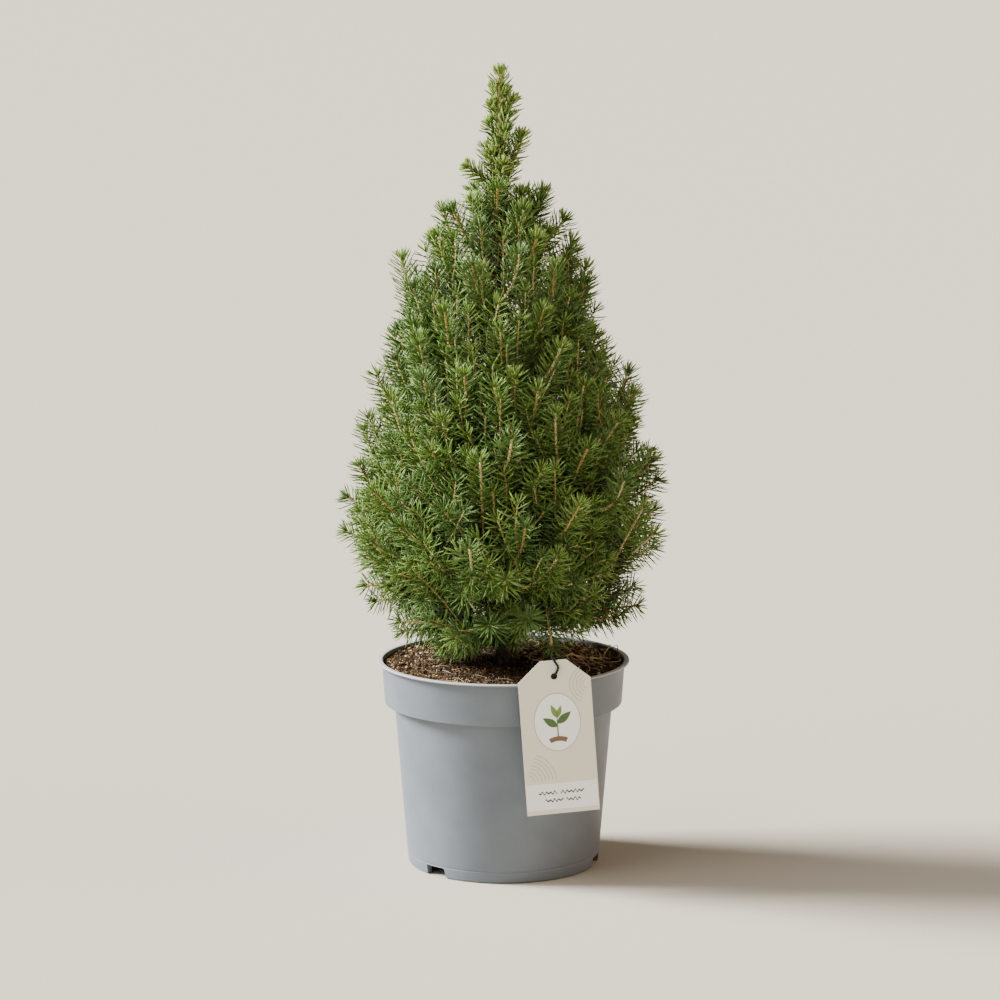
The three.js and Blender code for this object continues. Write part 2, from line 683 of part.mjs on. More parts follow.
// The places of the shoots' tips, spread evenly over the crown in a spiral from its foot to its top
function shootTips() {
  const tips = [];
  let height = LOWEST_SHOOT;
  for (let n = 0; height < CROWN_TOP - 2 * BUD_LENGTH; n++) {
    const turn = radians(n * SPIRAL_TURN);
    const [x, y] = [Math.cos(turn), Math.sin(turn)];
    const reach = crownReach(height, x, y);
    const wider = crownReach(height + SLOPE_STEP, x, y) - crownReach(height - SLOPE_STEP, x, y);
    const longer = 1 + SHOOT_SPREAD * (chance(n, 51) - SPREAD_INWARD);
    const out = Math.max(reach - TIP_INSIDE, LEAST_TIP_SHARE * reach) * longer;
    tips.push(vec(x * out, y * out, height));
    const around = 2 * Math.PI * Math.max(reach, LEAST_SPIRAL_REACH);
    height += CROWN_PER_SHOOT / (around * Math.hypot(1, wider / (2 * SLOPE_STEP)));
  }
  return tips;
}

// A shoot's path: it leaves the stem at a place of its own and bends towards the way things grow
// at its tip, or runs straight where the bend would leave the room
function shootPath(foot, room, tip) {
  const distance = foot.distanceTo(tip);
  const bend = tip.clone().addScaledVector(growth(tip), -SHOOT_BEND * distance);
  const needled = Math.min((NEEDLED_STEPS * SHOOT_STEP) / distance, MOST_NEEDLED);
  const shares = [0];
  if (distance > LONG_SHOOT) shares.push((1 - needled) / 2);
  for (let k = NEEDLED_STEPS; k >= 0; k--) shares.push(1 - (needled * k) / NEEDLED_STEPS);
  const curve = new THREE.QuadraticBezierCurve3(foot, bend, tip);
  const curved = shares.map((share) => curve.getPoint(share));
  if (curved.slice(1).every((p) => holds(room, p, -SHOOT_RADIUS))) return curved;
  return shares.map((share) => foot.clone().lerp(tip, share));
}

// A place on a path, given as a share of its steps
function placeOn(points, share) {
  const step = clamp(share, 0, 0.999) * (points.length - 1);
  return points[Math.floor(step)].clone().lerp(points[Math.floor(step) + 1], step % 1);
}

// A mass: the shoots whose tips lie in its room, rooted along its stem, and its core
function massGeometry(stem, room, key) {
  const stemSteps = stem.points.length - 1;
  const end = stem.points[stemSteps];
  const onward = end.clone().sub(stem.points[0]).normalize();
  const tips = shootTips()
    .filter((tip) => holds(room, tip, -SHOOT_RADIUS) && tip.distanceTo(end) > LEAST_TIP_GAP)
    .sort((a, b) => a.dot(onward) - b.dot(onward));
  const sidePaths = tips.map((tip, n) => {
    const rooted = (ROOTED_SHARE * (n + 0.5)) / tips.length;
    return shootPath(placeOn(stem.points, rooted), room, tip);
  });
  const needles = [];
  const stemRadii = stem.points.map((p, k) => lerp(STEM_RADIUS, SHOOT_RADIUS, k / stemSteps));
  let mass = toSolid(shootGeometry(room, stem.points, stemRadii, stemSteps - 1, sidePaths, needles));
  for (const path of sidePaths) {
    const others = [stem.points, ...sidePaths.filter((other) => other !== path)];
    const radii = path.map((p, k) => {
      const share = Math.min(k / (FULL_AT * (path.length - 1)), 1);
      return lerp(SHOOT_FOOT_RADIUS, SHOOT_RADIUS, share);
    });
    mass = mass.add(toSolid(shootGeometry(room, path, radii, NEEDLED_STEPS, others, needles)));
  }
  const middle = placeOn(stem.points, CORE_PLACE);
  if (inCore(middle)) mass = mass.add(toSolid(coreGeometry(room, middle, key)));
  return toGeometry(mass);
}

addPart('pot', potGeometry(), MATERIALS.pot);
addPart('potting_mix', mixGeometry(), MATERIALS.mix);
addPart('trunk', trunkGeometry(), MATERIALS.bark);

const boughList = boughs();
boughList.forEach((bough, i) => {
  const name = `bough_${String(i + 1).padStart(2, '0')}`;
  addPart(name, limbGeometry(bough.points, bough.radii, LIMB_SIDES), MATERIALS.bark);
});

const trunkHeights = Array.from({ length: TRUNK_SAMPLES }, (unused, k) => (
  lerp(TRUNK_FOOT, TRUNK_TOP, k / (TRUNK_SAMPLES - 1))));
const tagTop = [
  tagPoint(-TAG_WIDTH / 2, TAG_LENGTH / 2 - TAG_SHOULDER_DROP, 0),
  tagPoint(-TAG_WIDTH / 2 + TAG_SHOULDER, TAG_LENGTH / 2, 0),
  tagPoint(TAG_WIDTH / 2 - TAG_SHOULDER, TAG_LENGTH / 2, 0),
  tagPoint(TAG_WIDTH / 2, TAG_LENGTH / 2 - TAG_SHOULDER_DROP, 0),
];
const obstacles = [
  { points: trunkHeights.map(trunkMiddle), radii: trunkHeights.map(trunkRadius), upright: true },
  { points: tagTop, radii: tagTop.map(() => TAG_CLEAR) },
  { points: stringPath(), radii: stringPath().map(() => STRING_RADIUS + STRING_CLEAR) },
  ...boughList.map((bough, i) => ({ ...bough, owner: i })),
];
const massStems = stems(boughList);
const roomList = rooms(massStems, obstacles);
massStems.forEach((stem, i) => {
  addPart(stem.name, massGeometry(stem, roomList[i], i), MATERIALS.needles);
});

addPart('tag', tagGeometry(), MATERIALS.card);
addPart('tag_string', stringGeometry(), MATERIALS.string);

export default group;
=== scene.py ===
# %% [markdown]
# # A dwarf spruce in its nursery pot
#
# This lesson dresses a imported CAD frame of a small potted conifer. The frame settles how big
# everything is and where it stands. Blender then grows the needles and twigs, works the bark,
# the pot, the crumbly potting mix and the hang tag, and gives each its finish. Everything is in
# metres, with +Z up and the photographed front facing -Y.

import math
from collections import namedtuple

import bmesh
import bpy
import numpy as np
from mathutils import Matrix, Vector, noise


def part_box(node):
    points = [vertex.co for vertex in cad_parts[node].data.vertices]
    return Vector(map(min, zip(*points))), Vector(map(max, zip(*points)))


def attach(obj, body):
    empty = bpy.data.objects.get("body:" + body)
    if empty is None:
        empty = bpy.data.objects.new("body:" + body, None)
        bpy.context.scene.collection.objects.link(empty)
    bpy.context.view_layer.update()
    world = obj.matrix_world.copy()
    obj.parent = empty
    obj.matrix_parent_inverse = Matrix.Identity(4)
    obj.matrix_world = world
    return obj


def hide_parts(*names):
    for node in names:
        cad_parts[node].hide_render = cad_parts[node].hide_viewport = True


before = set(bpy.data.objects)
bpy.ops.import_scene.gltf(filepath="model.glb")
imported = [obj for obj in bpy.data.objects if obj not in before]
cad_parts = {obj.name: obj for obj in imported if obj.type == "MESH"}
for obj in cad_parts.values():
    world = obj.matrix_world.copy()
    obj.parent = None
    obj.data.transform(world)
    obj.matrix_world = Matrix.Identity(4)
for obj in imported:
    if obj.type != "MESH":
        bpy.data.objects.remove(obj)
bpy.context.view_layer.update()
MM = 0.001
scene = bpy.context.scene

# %% [markdown]
# ## The camera
#
# The picture was taken with a long lens from a little above the plant's middle. The camera is
# the one worked out from the ellipses of the pot's lip and foot: it looks along +Y and down by
# about nine degrees, and the lens is given for a sensor 36 mm wide.

# %% The camera
CAMERA_LENS = 122.04
SENSOR_WIDTH = 36.0
CAMERA_PLACE = Vector((-0.0023, -2.254, 0.6192))
CAMERA_DOWN = math.radians(9.33)
VIEW_END = 300.0


def new_object(name, data):
    """An object with its data, linked to the scene."""
    made = bpy.data.objects.new(name, data)
    scene.collection.objects.link(made)
    return made


camera_data = bpy.data.cameras.new("front_camera")
camera_data.lens = CAMERA_LENS
camera_data.sensor_width = SENSOR_WIDTH
camera_data.clip_end = VIEW_END
camera = new_object("front_camera", camera_data)
camera.location = CAMERA_PLACE
camera.rotation_euler = (math.pi / 2 - CAMERA_DOWN, 0, 0)
scene.camera = camera
print("camera:", round(camera_data.lens, 1), "mm lens,", round(-CAMERA_PLACE.y, 2), "m in front")

# %% [markdown]
# ## Colours and materials
#
# Colours are written as they look on a screen, from 0 to 255, and turned into the linear light
# that the shader works in. A plain finish keeps its colour on the shader's own socket. A worked
# finish starts the same way and then gets nodes of its own, so one small helper adds a node,
# sets its sockets by name and returns it.


# %% Helpers for colours and materials
def shade(red, green, blue):
    """Screen colour from 0 to 255 as linear RGBA."""
    channels = [c / 255 for c in (red, green, blue)]
    linear = [c / 12.92 if c <= 0.04045 else ((c + 0.055) / 1.055) ** 2.4 for c in channels]
    return (*linear, 1.0)


def shader_of(material):
    """The shader node of a material."""
    return material.node_tree.nodes["Principled BSDF"]


def plain_finish(name, colour, roughness, specular):
    """A material with its colour on the shader's own socket."""
    material = bpy.data.materials.new(name)
    material.use_nodes = True
    shader = shader_of(material)
    shader.inputs["Base Color"].default_value = shade(*colour)
    shader.inputs["Roughness"].default_value = roughness
    shader.inputs["Specular IOR Level"].default_value = specular
    material.diffuse_color = shade(*colour)
    return material


def plain_finishes(colours, roughness, specular):
    """A plain finish for each named colour."""
    return [plain_finish(name, colour, roughness, specular) for name, colour in colours.items()]


def add_node(material, kind, **sockets):
    """Adds a node and sets its inputs by name."""
    made = material.node_tree.nodes.new(kind)
    for name, value in sockets.items():
        made.inputs[name.replace("_", " ")].default_value = value
    return made


def join(material, source, socket, target, input_name):
    """Links an output of one node to an input of another."""
    material.node_tree.links.new(source.outputs[socket], target.inputs[input_name])


def object_places(material, scale=(1.0, 1.0, 1.0)):
    """The piece's own places, stretched by scale, for patterns to read."""
    places = add_node(material, "ShaderNodeTexCoord")
    mapping = add_node(material, "ShaderNodeMapping", Scale=scale)
    join(material, places, "Object", mapping, "Vector")
    return mapping


def noise_pattern(material, places, **sockets):
    """Layered noise that reads the given places."""
    texture = add_node(material, "ShaderNodeTexNoise", **sockets)
    join(material, places, "Vector", texture, "Vector")
    return texture


def colour_steps(material, pattern, steps):
    """A colour ramp that reads a pattern. steps are pairs of a place and a screen colour."""
    ramp = add_node(material, "ShaderNodeValToRGB")
    while len(ramp.color_ramp.elements) < len(steps):
        ramp.color_ramp.elements.new(0.5)
    for element, (place, colour) in zip(ramp.color_ramp.elements, steps):
        element.position = place
        element.color = shade(*colour)
    join(material, pattern, "Fac", ramp, "Fac")
    return ramp


def add_bump(material, pattern, strength, distance):
    """Raises the surface by a pattern."""
    bump = add_node(material, "ShaderNodeBump", Strength=strength, Distance=distance)
    join(material, pattern, "Fac", bump, "Height")
    join(material, bump, "Normal", shader_of(material), "Normal")


def speckled_finish(material, stretch, steps, bump, **sockets):
    """Works one noise into a plain finish, as the steps of its colour and as its bump."""
    specks = noise_pattern(material, object_places(material, stretch), **sockets)
    tone = colour_steps(material, specks, steps)
    join(material, tone, "Color", shader_of(material), "Base Color")
    add_bump(material, specks, *bump)
    return material


print("materials start from", len(bpy.data.materials), "of the frame's own")

# %% [markdown]
# ## The stage and the light
#
# The plant stands in soft daylight from the left. A wide sun gives that direction and its soft
# shadow, a broad weak one opens the front, a warm one from the right lifts the shaded side, and
# a dim pale world fills the rest. The floor is large enough to reach past the top of the frame
# from every side, so the background stays a plain pale tone.


# %% The stage and the light
FLOOR_HALF = 90.0
FLOOR_COLOUR = (188, 182, 170)
SKY_COLOUR = (247, 245, 241)
SKY_STRENGTH = 0.2
SUNS = [
    # name, colour, strength, width in degrees, degrees above level, degrees round from the front
    ("window_sun", (255, 253, 247), 14.5, 22, 34, -100),
    ("window_fill", (255, 252, 246), 2.3, 70, 42, -68),
    ("room_glow", (255, 212, 168), 1.9, 70, 12, 80),
]

sky = bpy.data.worlds.new("pale_sky")
sky.use_nodes = True
sky.node_tree.nodes["Background"].inputs["Color"].default_value = shade(*SKY_COLOUR)
sky.node_tree.nodes["Background"].inputs["Strength"].default_value = SKY_STRENGTH
scene.world = sky

for name, colour, strength, width, height, turn in SUNS:
    sun_data = bpy.data.lights.new(name, "SUN")
    sun_data.color = shade(*colour)[:3]
    sun_data.energy = strength
    sun_data.angle = math.radians(width)
    sun = new_object(name, sun_data)
    sun.rotation_euler = (math.radians(90 - height), 0, math.radians(turn))


def mesh_of(name, bm):
    """Writes a bmesh to a mesh and frees it."""
    mesh = bpy.data.meshes.new(name)
    bm.to_mesh(mesh)
    bm.free()
    return mesh


def placed_piece(name, mesh, materials, slot, *nodes):
    """Links a mesh as a piece, with its materials and the nodes that it stands for. Its slot is not
    used.
    """
    piece = new_object(name, mesh)
    for material in materials:
        mesh.materials.append(material)
    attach(piece, "root")
    if nodes:
        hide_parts(*nodes)
    return piece


def finished_piece(name, bm, materials, slot, *nodes):
    """Turns a bmesh into a piece whose faces point outwards."""
    bmesh.ops.recalc_face_normals(bm, faces=bm.faces[:])
    return placed_piece(name, mesh_of(name, bm), materials, slot, *nodes)


floor_bm = bmesh.new()
bmesh.ops.create_grid(floor_bm, x_segments=1, y_segments=1, size=FLOOR_HALF)
floor = new_object("pale_floor", mesh_of("pale_floor", floor_bm))
floor.data.materials.append(plain_finish("pale_floor", FLOOR_COLOUR, 0.9, 0.1))
print("stage:", len(SUNS), "suns and a floor", 2 * FLOOR_HALF, "m across")

# %% [markdown]
# ## The pot
#
# A nursery pot is one thin moulding: a flat lip that stands out of a tall collar, a ledge where
# the collar ends, and a body that narrows to a rounded foot. It could be built from stacked
# cones, but one outline spun round the axis gives the true wall, with its inside, in one piece.
# The outline is drawn with its corners only, and each corner is rounded by a bevel on the
# outline's own points before the spin.


# %% The pot's outline
POT_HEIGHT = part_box("pot")[1].z
LIP_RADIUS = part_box("pot")[1].x
LIP_THICKNESS = 1.4 * MM
COLLAR_FOOT_HEIGHT = 111 * MM
LEDGE_HEIGHT = 110.4 * MM
COLLAR_TOP_RADIUS = 82.4 * MM
COLLAR_FOOT_RADIUS = 80.5 * MM
BODY_TOP_RADIUS = 74 * MM
BASE_RADIUS = 65 * MM
WALL = 1.2 * MM
MOUTH_RADIUS = 82.0 * MM
FLOOR_UNDERSIDE = 8 * MM
FLOOR_TOP = 10.5 * MM
FOOT_RING = 4 * MM
MIDDLE_FOOT_RADIUS = 20 * MM
FOOT_LINE_HEIGHT = 8 * MM
FOOT_LINE_HALF = 0.7 * MM
FOOT_LINE_DEPTH = 0.35 * MM
CRISP = 0.2 * MM
LEDGE_ROUNDING = 0.25 * MM
LIP_ROUNDING = 0.5 * MM
FLOOR_ROUNDING = 0.6 * MM
WALL_ROUNDING = 1 * MM
FOOT_ROUNDING = 1.6 * MM
MOST_CUT = 0.45
SPIN_STEPS = 160


def body_corner(height, depth=0):
    """A crisp corner on the outside of the body at a height, or set in by a depth."""
    radius = BASE_RADIUS + (BODY_TOP_RADIUS - BASE_RADIUS) * height / LEDGE_HEIGHT
    return radius - depth, height, CRISP


def pot_outline():
    """Corners of the pot's wall as radius, height and rounding, from the middle out and back."""
    return [
        (0, 0, 0),
        (MIDDLE_FOOT_RADIUS, 0, 0.4 * MM),
        (MIDDLE_FOOT_RADIUS + 1 * MM, FLOOR_UNDERSIDE, FLOOR_ROUNDING),
        (BASE_RADIUS - FOOT_RING, FLOOR_UNDERSIDE, FLOOR_ROUNDING),
        (BASE_RADIUS - FOOT_RING, 0, FLOOR_ROUNDING),
        (BASE_RADIUS - 0.2 * MM, 0, FOOT_ROUNDING),
        body_corner(FOOT_LINE_HEIGHT - FOOT_LINE_HALF),
        body_corner(FOOT_LINE_HEIGHT, FOOT_LINE_DEPTH),
        body_corner(FOOT_LINE_HEIGHT + FOOT_LINE_HALF),
        (BODY_TOP_RADIUS, LEDGE_HEIGHT, LEDGE_ROUNDING),
        (COLLAR_FOOT_RADIUS, COLLAR_FOOT_HEIGHT, LIP_ROUNDING),
        (COLLAR_TOP_RADIUS, POT_HEIGHT - LIP_THICKNESS, LIP_ROUNDING),
        (LIP_RADIUS, POT_HEIGHT - LIP_THICKNESS, 0.6 * MM),
        (LIP_RADIUS, POT_HEIGHT, LIP_ROUNDING),
        (MOUTH_RADIUS, POT_HEIGHT, LIP_ROUNDING),
        (COLLAR_FOOT_RADIUS - WALL, COLLAR_FOOT_HEIGHT + WALL, 0.8 * MM),
        (BODY_TOP_RADIUS - WALL, LEDGE_HEIGHT + WALL, WALL_ROUNDING),
        (BASE_RADIUS - WALL, FLOOR_TOP, 1.5 * WALL_ROUNDING),
        (0, FLOOR_TOP, 0),
    ]


def rounded_outline(corners, steps=4):
    """Cuts each corner off by its rounding and puts an arc of a few points in its place."""
    out = []
    for k, (radius, height, rounding) in enumerate(corners):
        here = Vector((radius, height))
        if not rounding:
            out.append(here)
            continue
        before = Vector(corners[k - 1][:2]) - here
        after = Vector(corners[k + 1][:2]) - here
        cut = min(rounding, MOST_CUT * before.length, MOST_CUT * after.length)
        start = here + before.normalized() * cut
        end = here + after.normalized() * cut
        for n in range(steps + 1):
            share = n / steps
            out.append(start.lerp(here, share).lerp(here.lerp(end, share), share))
    return out


pot_profile = rounded_outline(pot_outline())
print("pot outline:", len(pot_profile), "points,", round(POT_HEIGHT / MM, 1), "mm high")

# %% [markdown]
# ## Spinning the pot and cutting its drains
#
# The outline becomes a chain of edges, and a full spin with merging turns it into the closed
# wall. The drain notches in the foot are cut with a Boolean, whose cutters have one sloped end,
# as the moulded ones do. The Boolean is applied, so the piece keeps a plain mesh.


# %% The pot
DRAIN_TURNS = [-43, 77, 197]
DRAIN_WIDTH = 20 * MM
DRAIN_HEIGHT = 7 * MM
DRAIN_SLOPE = 4 * MM
DRAIN_DEPTH = 16 * MM
DRAIN_ROUNDING = 0.6 * MM
POT_SHARP = 35
# The lip's top band is paler: partly wear, partly a painted highlight.
WORN_AND_HIGHLIT_LIP = (1.2 * MM, 0.3 * MM)
WORN_AND_HIGHLIT_GREY = (172, 176, 178)


def spun(profile, steps):
    """A closed wall: the outline's edges spun a full turn about the Z axis."""
    bm = bmesh.new()
    points = [bm.verts.new((p.x, 0, p.y)) for p in profile]
    for first, second in zip(points, points[1:]):
        bm.edges.new((first, second))
    bmesh.ops.spin(bm, geom=bm.verts[:] + bm.edges[:], axis=(0, 0, 1), cent=(0, 0, 0),
                   angle=2 * math.pi, steps=steps, use_merge=True)
    bmesh.ops.remove_doubles(bm, verts=bm.verts[:], dist=0.01 * MM)
    bmesh.ops.recalc_face_normals(bm, faces=bm.faces[:])
    return bm


def drain_cutter(turn):
    """A block through the foot, with one of its ends sloping inwards as it rises."""
    bm = bmesh.new()
    bmesh.ops.create_cube(bm, size=1.0)
    bmesh.ops.scale(bm, verts=bm.verts[:], vec=(DRAIN_WIDTH, DRAIN_DEPTH, 2 * DRAIN_HEIGHT))
    for vert in bm.verts:
        if vert.co.z > 0 and vert.co.x > 0:
            vert.co.x -= DRAIN_SLOPE
    bmesh.ops.bevel(bm, geom=bm.edges[:], offset=DRAIN_ROUNDING, offset_type="OFFSET", segments=2,
                    profile=0.5, affect="EDGES", material=-1)
    bmesh.ops.translate(bm, verts=bm.verts[:], vec=(0, -BASE_RADIUS, 0))
    bmesh.ops.rotate(bm, verts=bm.verts[:], cent=(0, 0, 0),
                     matrix=Matrix.Rotation(math.radians(turn), 3, "Z"))
    return new_object("drain_cutter", mesh_of("drain_cutter", bm))


def cut_away(piece, cutters):
    """Cuts solids out of a piece and keeps the result as its plain mesh."""
    for cutter in cutters:
        cut = piece.modifiers.new("cut", "BOOLEAN")
        cut.operation = "DIFFERENCE"
        cut.solver = "EXACT"
        cut.object = cutter
    bpy.context.view_layer.update()
    graph = bpy.context.evaluated_depsgraph_get()
    result = bpy.data.meshes.new_from_object(piece.evaluated_get(graph))
    piece.modifiers.clear()
    old = piece.data
    piece.data = result
    bpy.data.meshes.remove(old)
    for cutter in cutters:
        bpy.data.objects.remove(cutter)


def pot_plastic():
    """Matt grey polypropylene: faint mottling, fine grain and a paler lip band, partly wear and
    partly a painted highlight.
    """
    material = plain_finish("grey_pot_plastic", (108, 116, 126), 0.55, 0.22)
    places = object_places(material)
    mottle = noise_pattern(material, places, Scale=38.0, Detail=5.0)
    tone = colour_steps(material, mottle, [(0.3, (103, 111, 121)), (0.7, (112, 120, 130))])
    split = add_node(material, "ShaderNodeSeparateXYZ")
    join(material, places, "Vector", split, "Vector")
    # Paler top band of the lip: partly wear, partly a painted highlight.
    first, last = (POT_HEIGHT - below for below in WORN_AND_HIGHLIT_LIP)
    lip = add_node(material, "ShaderNodeMapRange", From_Min=first, From_Max=last)
    join(material, split, "Z", lip, "Value")
    mix = add_node(material, "ShaderNodeMix")
    mix.data_type = "RGBA"
    share, grey, worn_and_highlit = mix.inputs[0], mix.inputs[6], mix.inputs[7]
    worn_and_highlit.default_value = shade(*WORN_AND_HIGHLIT_GREY)
    material.node_tree.links.new(tone.outputs["Color"], grey)
    material.node_tree.links.new(lip.outputs["Result"], share)
    join(material, mix, 2, shader_of(material), "Base Color")
    grain = noise_pattern(material, places, Scale=900.0, Detail=3.0)
    add_bump(material, grain, 0.12, 0.2 * MM)
    scuffs = noise_pattern(material, places, Scale=70.0, Detail=8.0)
    gloss = add_node(material, "ShaderNodeMapRange", To_Min=0.42, To_Max=0.62)
    join(material, scuffs, "Fac", gloss, "Value")
    join(material, gloss, "Result", shader_of(material), "Roughness")
    return material


pot = finished_piece("nursery_pot", spun(pot_profile, SPIN_STEPS), [pot_plastic()], "pot", "pot")
cut_away(pot, [drain_cutter(turn) for turn in DRAIN_TURNS])
pot.data.shade_smooth()
pot.data.set_sharp_from_angle(angle=math.radians(POT_SHARP))
print("pot:", len(pot.data.polygons), "faces")

# %% [markdown]
# ## The rule of growth
#
# The plant grows by one seeded rule: the trunk leans a little, boughs leave it in a golden-angle
# spiral, and everything turns towards the way that things grow at its place, flat low down and
# upright high up. The same rule and the same seed gave the CAD solids, so the fine twigs here
# stay in the same crown. The rule is worked out in millimetres and turned into metres when a
# mesh is made.


# %% Sizes of the plant and its seeded chance
SEED = 0x51C0A
MIX_TOP = 136.5
TRUNK_FOOT = 136.8
TRUNK_TOP = 490.0
TRUNK_FOOT_RADIUS = 6.6
TRUNK_TOP_RADIUS = 1.3
FLARE_RADIUS = 3.2
FLARE_HEIGHT = 9.0
TAPER_CURVE = 0.85
TRUNK_OFFSET = 2.5
TRUNK_LEAN = -6.0
TRUNK_SWAY = 1.6
SIDEWAYS_WAVES = 7.0
FORWARD_WAVES = 5.0

# Crown outline: height, reach to the left of the middle and reach to the right
CROWN_TOP = 537.0
CROWN_OUTLINE = [
    (146, 40, 44), (160, 60, 70), (172, 80, 90), (184, 93, 97), (200, 96, 95), (215, 106, 104),
    (235, 111, 107), (255, 107, 108), (280, 98, 108), (300, 97, 97), (335, 89, 89),
    (365, 77, 71), (400, 72, 66), (417, 66, 58), (431, 51, 48), (449, 45, 42), (458, 29, 32),
    (474, 28, 15), (505, 15, 14), (527, 12, 9), (CROWN_TOP, 4, 4),
]

GROWTH_FOOT = 150.0
GROWTH_RISE = 300.0
LOWEST_CLIMB = -14.0
HIGHEST_CLIMB = 74.0
CLIMB_CURVE = 0.62
INNER_CLIMB = 16.0
WANDER = 0.16

WHOLE = 0xFFFFFFFF


def chance(*keys):
    """A number from 0 to 1 that is always the same for the same whole-number keys. Each use has
    keys of its own."""
    mixed = SEED
    for key in keys:
        mixed = ((mixed ^ ((key + 0x9E3779B9) & WHOLE)) * 0x85EBCA6B) & WHOLE
        mixed ^= mixed >> 13
    mixed = (mixed * 0xC2B2AE35) & WHOLE
    return (mixed ^ (mixed >> 16)) / (WHOLE + 1)


def lerp(low, high, share):
    return low + (high - low) * share


def clamp(value, low, high):
    return max(low, min(high, value))


print("chance:", round(chance(1, 7), 4), round(chance(2, 8), 4))


# %% Where the trunk and the crown are, and which way things grow
def trunk_middle(height):
    """The trunk's middle at a height."""
    share = (height - TRUNK_FOOT) / (CROWN_TOP - TRUNK_FOOT)
    x = TRUNK_OFFSET + TRUNK_LEAN * share + TRUNK_SWAY * math.sin(SIDEWAYS_WAVES * share)
    return Vector((x, TRUNK_SWAY * math.sin(FORWARD_WAVES * share + 1), height))


def trunk_radius(height):
    """The trunk's radius at a height, with its flare at the foot."""
    share = clamp((height - TRUNK_FOOT) / (TRUNK_TOP - TRUNK_FOOT), 0, 1)
    flare = FLARE_RADIUS * math.exp(-(height - TRUNK_FOOT) / FLARE_HEIGHT)
    return lerp(TRUNK_FOOT_RADIUS, TRUNK_TOP_RADIUS, share ** TAPER_CURVE) + flare


def crown_reach(height, x, y):
    """How far the crown reaches from the axis at a height, on the side that x and y point to."""
    if height <= CROWN_OUTLINE[0][0] or height >= CROWN_TOP:
        return 0.0
    k = next(n for n, row in enumerate(CROWN_OUTLINE) if row[0] > height)
    low, high = CROWN_OUTLINE[k - 1], CROWN_OUTLINE[k]
    share = (height - low[0]) / (high[0] - low[0])
    side = x / (math.hypot(x, y) + 1e-9)
    return lerp(lerp(low[1], high[1], share), lerp(low[2], high[2], share), (side + 1) / 2)


def crown_share(p):
    """How far out a place lies: 0 on the axis, 1 on the crown's surface."""
    return math.hypot(p.x, p.y) / max(crown_reach(p.z, p.x, p.y), 0.1)


def growth(p):
    """The way that a shoot turns at a place."""
    share = clamp(crown_share(p), 0, 1)
    high = clamp((p.z - GROWTH_FOOT) / GROWTH_RISE, 0, 1)
    climb = math.radians(lerp(LOWEST_CLIMB, HIGHEST_CLIMB, high ** CLIMB_CURVE)
                         + INNER_CLIMB * (1 - share) * high)
    away = Vector((p.x, p.y, 0)).normalized()
    return away * math.cos(climb) + Vector((0, 0, math.sin(climb)))


def grow(start, heading, step, length, turn, arrived, *keys):
    """A path that grows from a place until it has its length or has arrived."""
    points = [start.copy()]
    way = heading.normalized()
    k = 0
    while k * step < length:
        last = points[-1]
        if k > 0:
            wander = Vector([chance(axis, k, *keys) - 0.5 for axis in (1, 2, 3)])
            way = (way.lerp(growth(last), turn) + wander * WANDER).normalized()
        following = last + way * min(step, length - k * step)
        if arrived(following):
            break
        points.append(following)
        k += 1
    return points


print("crown reach at 235 mm:", round(crown_reach(235, -1, 0), 1), round(crown_reach(235, 1, 0), 1))

# %% [markdown]
# ## Boughs and stems
#
# Eighteen boughs leave the trunk below, each ending where it enters its mass of foliage, and a
# stem goes on from each tip. Ten more stems leave the upper trunk, and the leader goes on from
# the trunk's tip. A mass keeps to the places that are nearer to its own middle than to any other.


# %% Boughs and stems
GAP = 0.3
SPIRAL_TURN = 137.508
BOUGH_COUNT = 18
BOUGH_HEIGHTS = (151.0, 352.0)
BOUGH_CLIMBS = (4.0, 50.0)
FIRST_BOUGH_TURN = 205.0
TURN_SPREAD = 14.0
BOUGH_RADII = (2.5, 1.3)
BOUGH_SHARE = 0.46
BOUGH_SHARE_SPREAD = 0.08
LONGEST_BOUGH = 90.0
BOUGH_STEP = 11.0
BOUGH_BEND = 0.12
BARK_SLACK = 0.15
STEM_SLACK = 0.05
UPPER_MASS_COUNT = 10
UPPER_HEIGHTS = (366.0, 474.0)
UPPER_CLIMBS = (42.0, 58.0)
STEM_RADIUS = 1.2
STEM_STEP = 9.0
STEM_BEND = 0.16
UPPER_STEM_BEND = 0.13
LONGEST_STEM = 110.0
STEM_SHARE = 0.93
BUD_LENGTH = 9.0
ROOM_SITE = 0.55


def way_out(turn, climb):
    """Ways that point from the axis at a turn: level, and climbing by an angle."""
    turn, climb = math.radians(turn), math.radians(climb)
    away = Vector((math.cos(turn), math.sin(turn), 0))
    return away, away * math.cos(climb) + Vector((0, 0, math.sin(climb)))


def leaving_trunk(n, share, heights, climbs, radius, swing=0.0):
    """Where the trunk's nth limb starts, which has a radius, and its way. share is how far up it
    is among its kind."""
    height = lerp(*heights, share)
    away, heading = way_out(FIRST_BOUGH_TURN + n * SPIRAL_TURN + swing, lerp(*climbs, share))
    clear = trunk_radius(height - radius) + GAP + radius * heading.z + BARK_SLACK
    return trunk_middle(height) + away * clear, heading


def bough_paths():
    """The boughs' paths, in the order in which they leave the trunk."""
    paths = []
    for i in range(BOUGH_COUNT):
        start, heading = leaving_trunk(i, i / (BOUGH_COUNT - 1), BOUGH_HEIGHTS, BOUGH_CLIMBS,
                                       BOUGH_RADII[0], TURN_SPREAD * (chance(i, 7) - 0.5))
        end = BOUGH_SHARE + BOUGH_SHARE_SPREAD * (chance(i, 8) - 0.5)
        paths.append(grow(start, heading, BOUGH_STEP, LONGEST_BOUGH, BOUGH_BEND,
                          lambda p: crown_share(p) > end, i, 11))
    return paths


def stem_from(start, heading, bend, *keys):
    """A stem that grows until it is near the crown's surface."""
    return grow(start, heading, STEM_STEP, LONGEST_STEM, bend,
                lambda p: crown_share(p) > STEM_SHARE or p.z > CROWN_TOP - BUD_LENGTH, *keys)


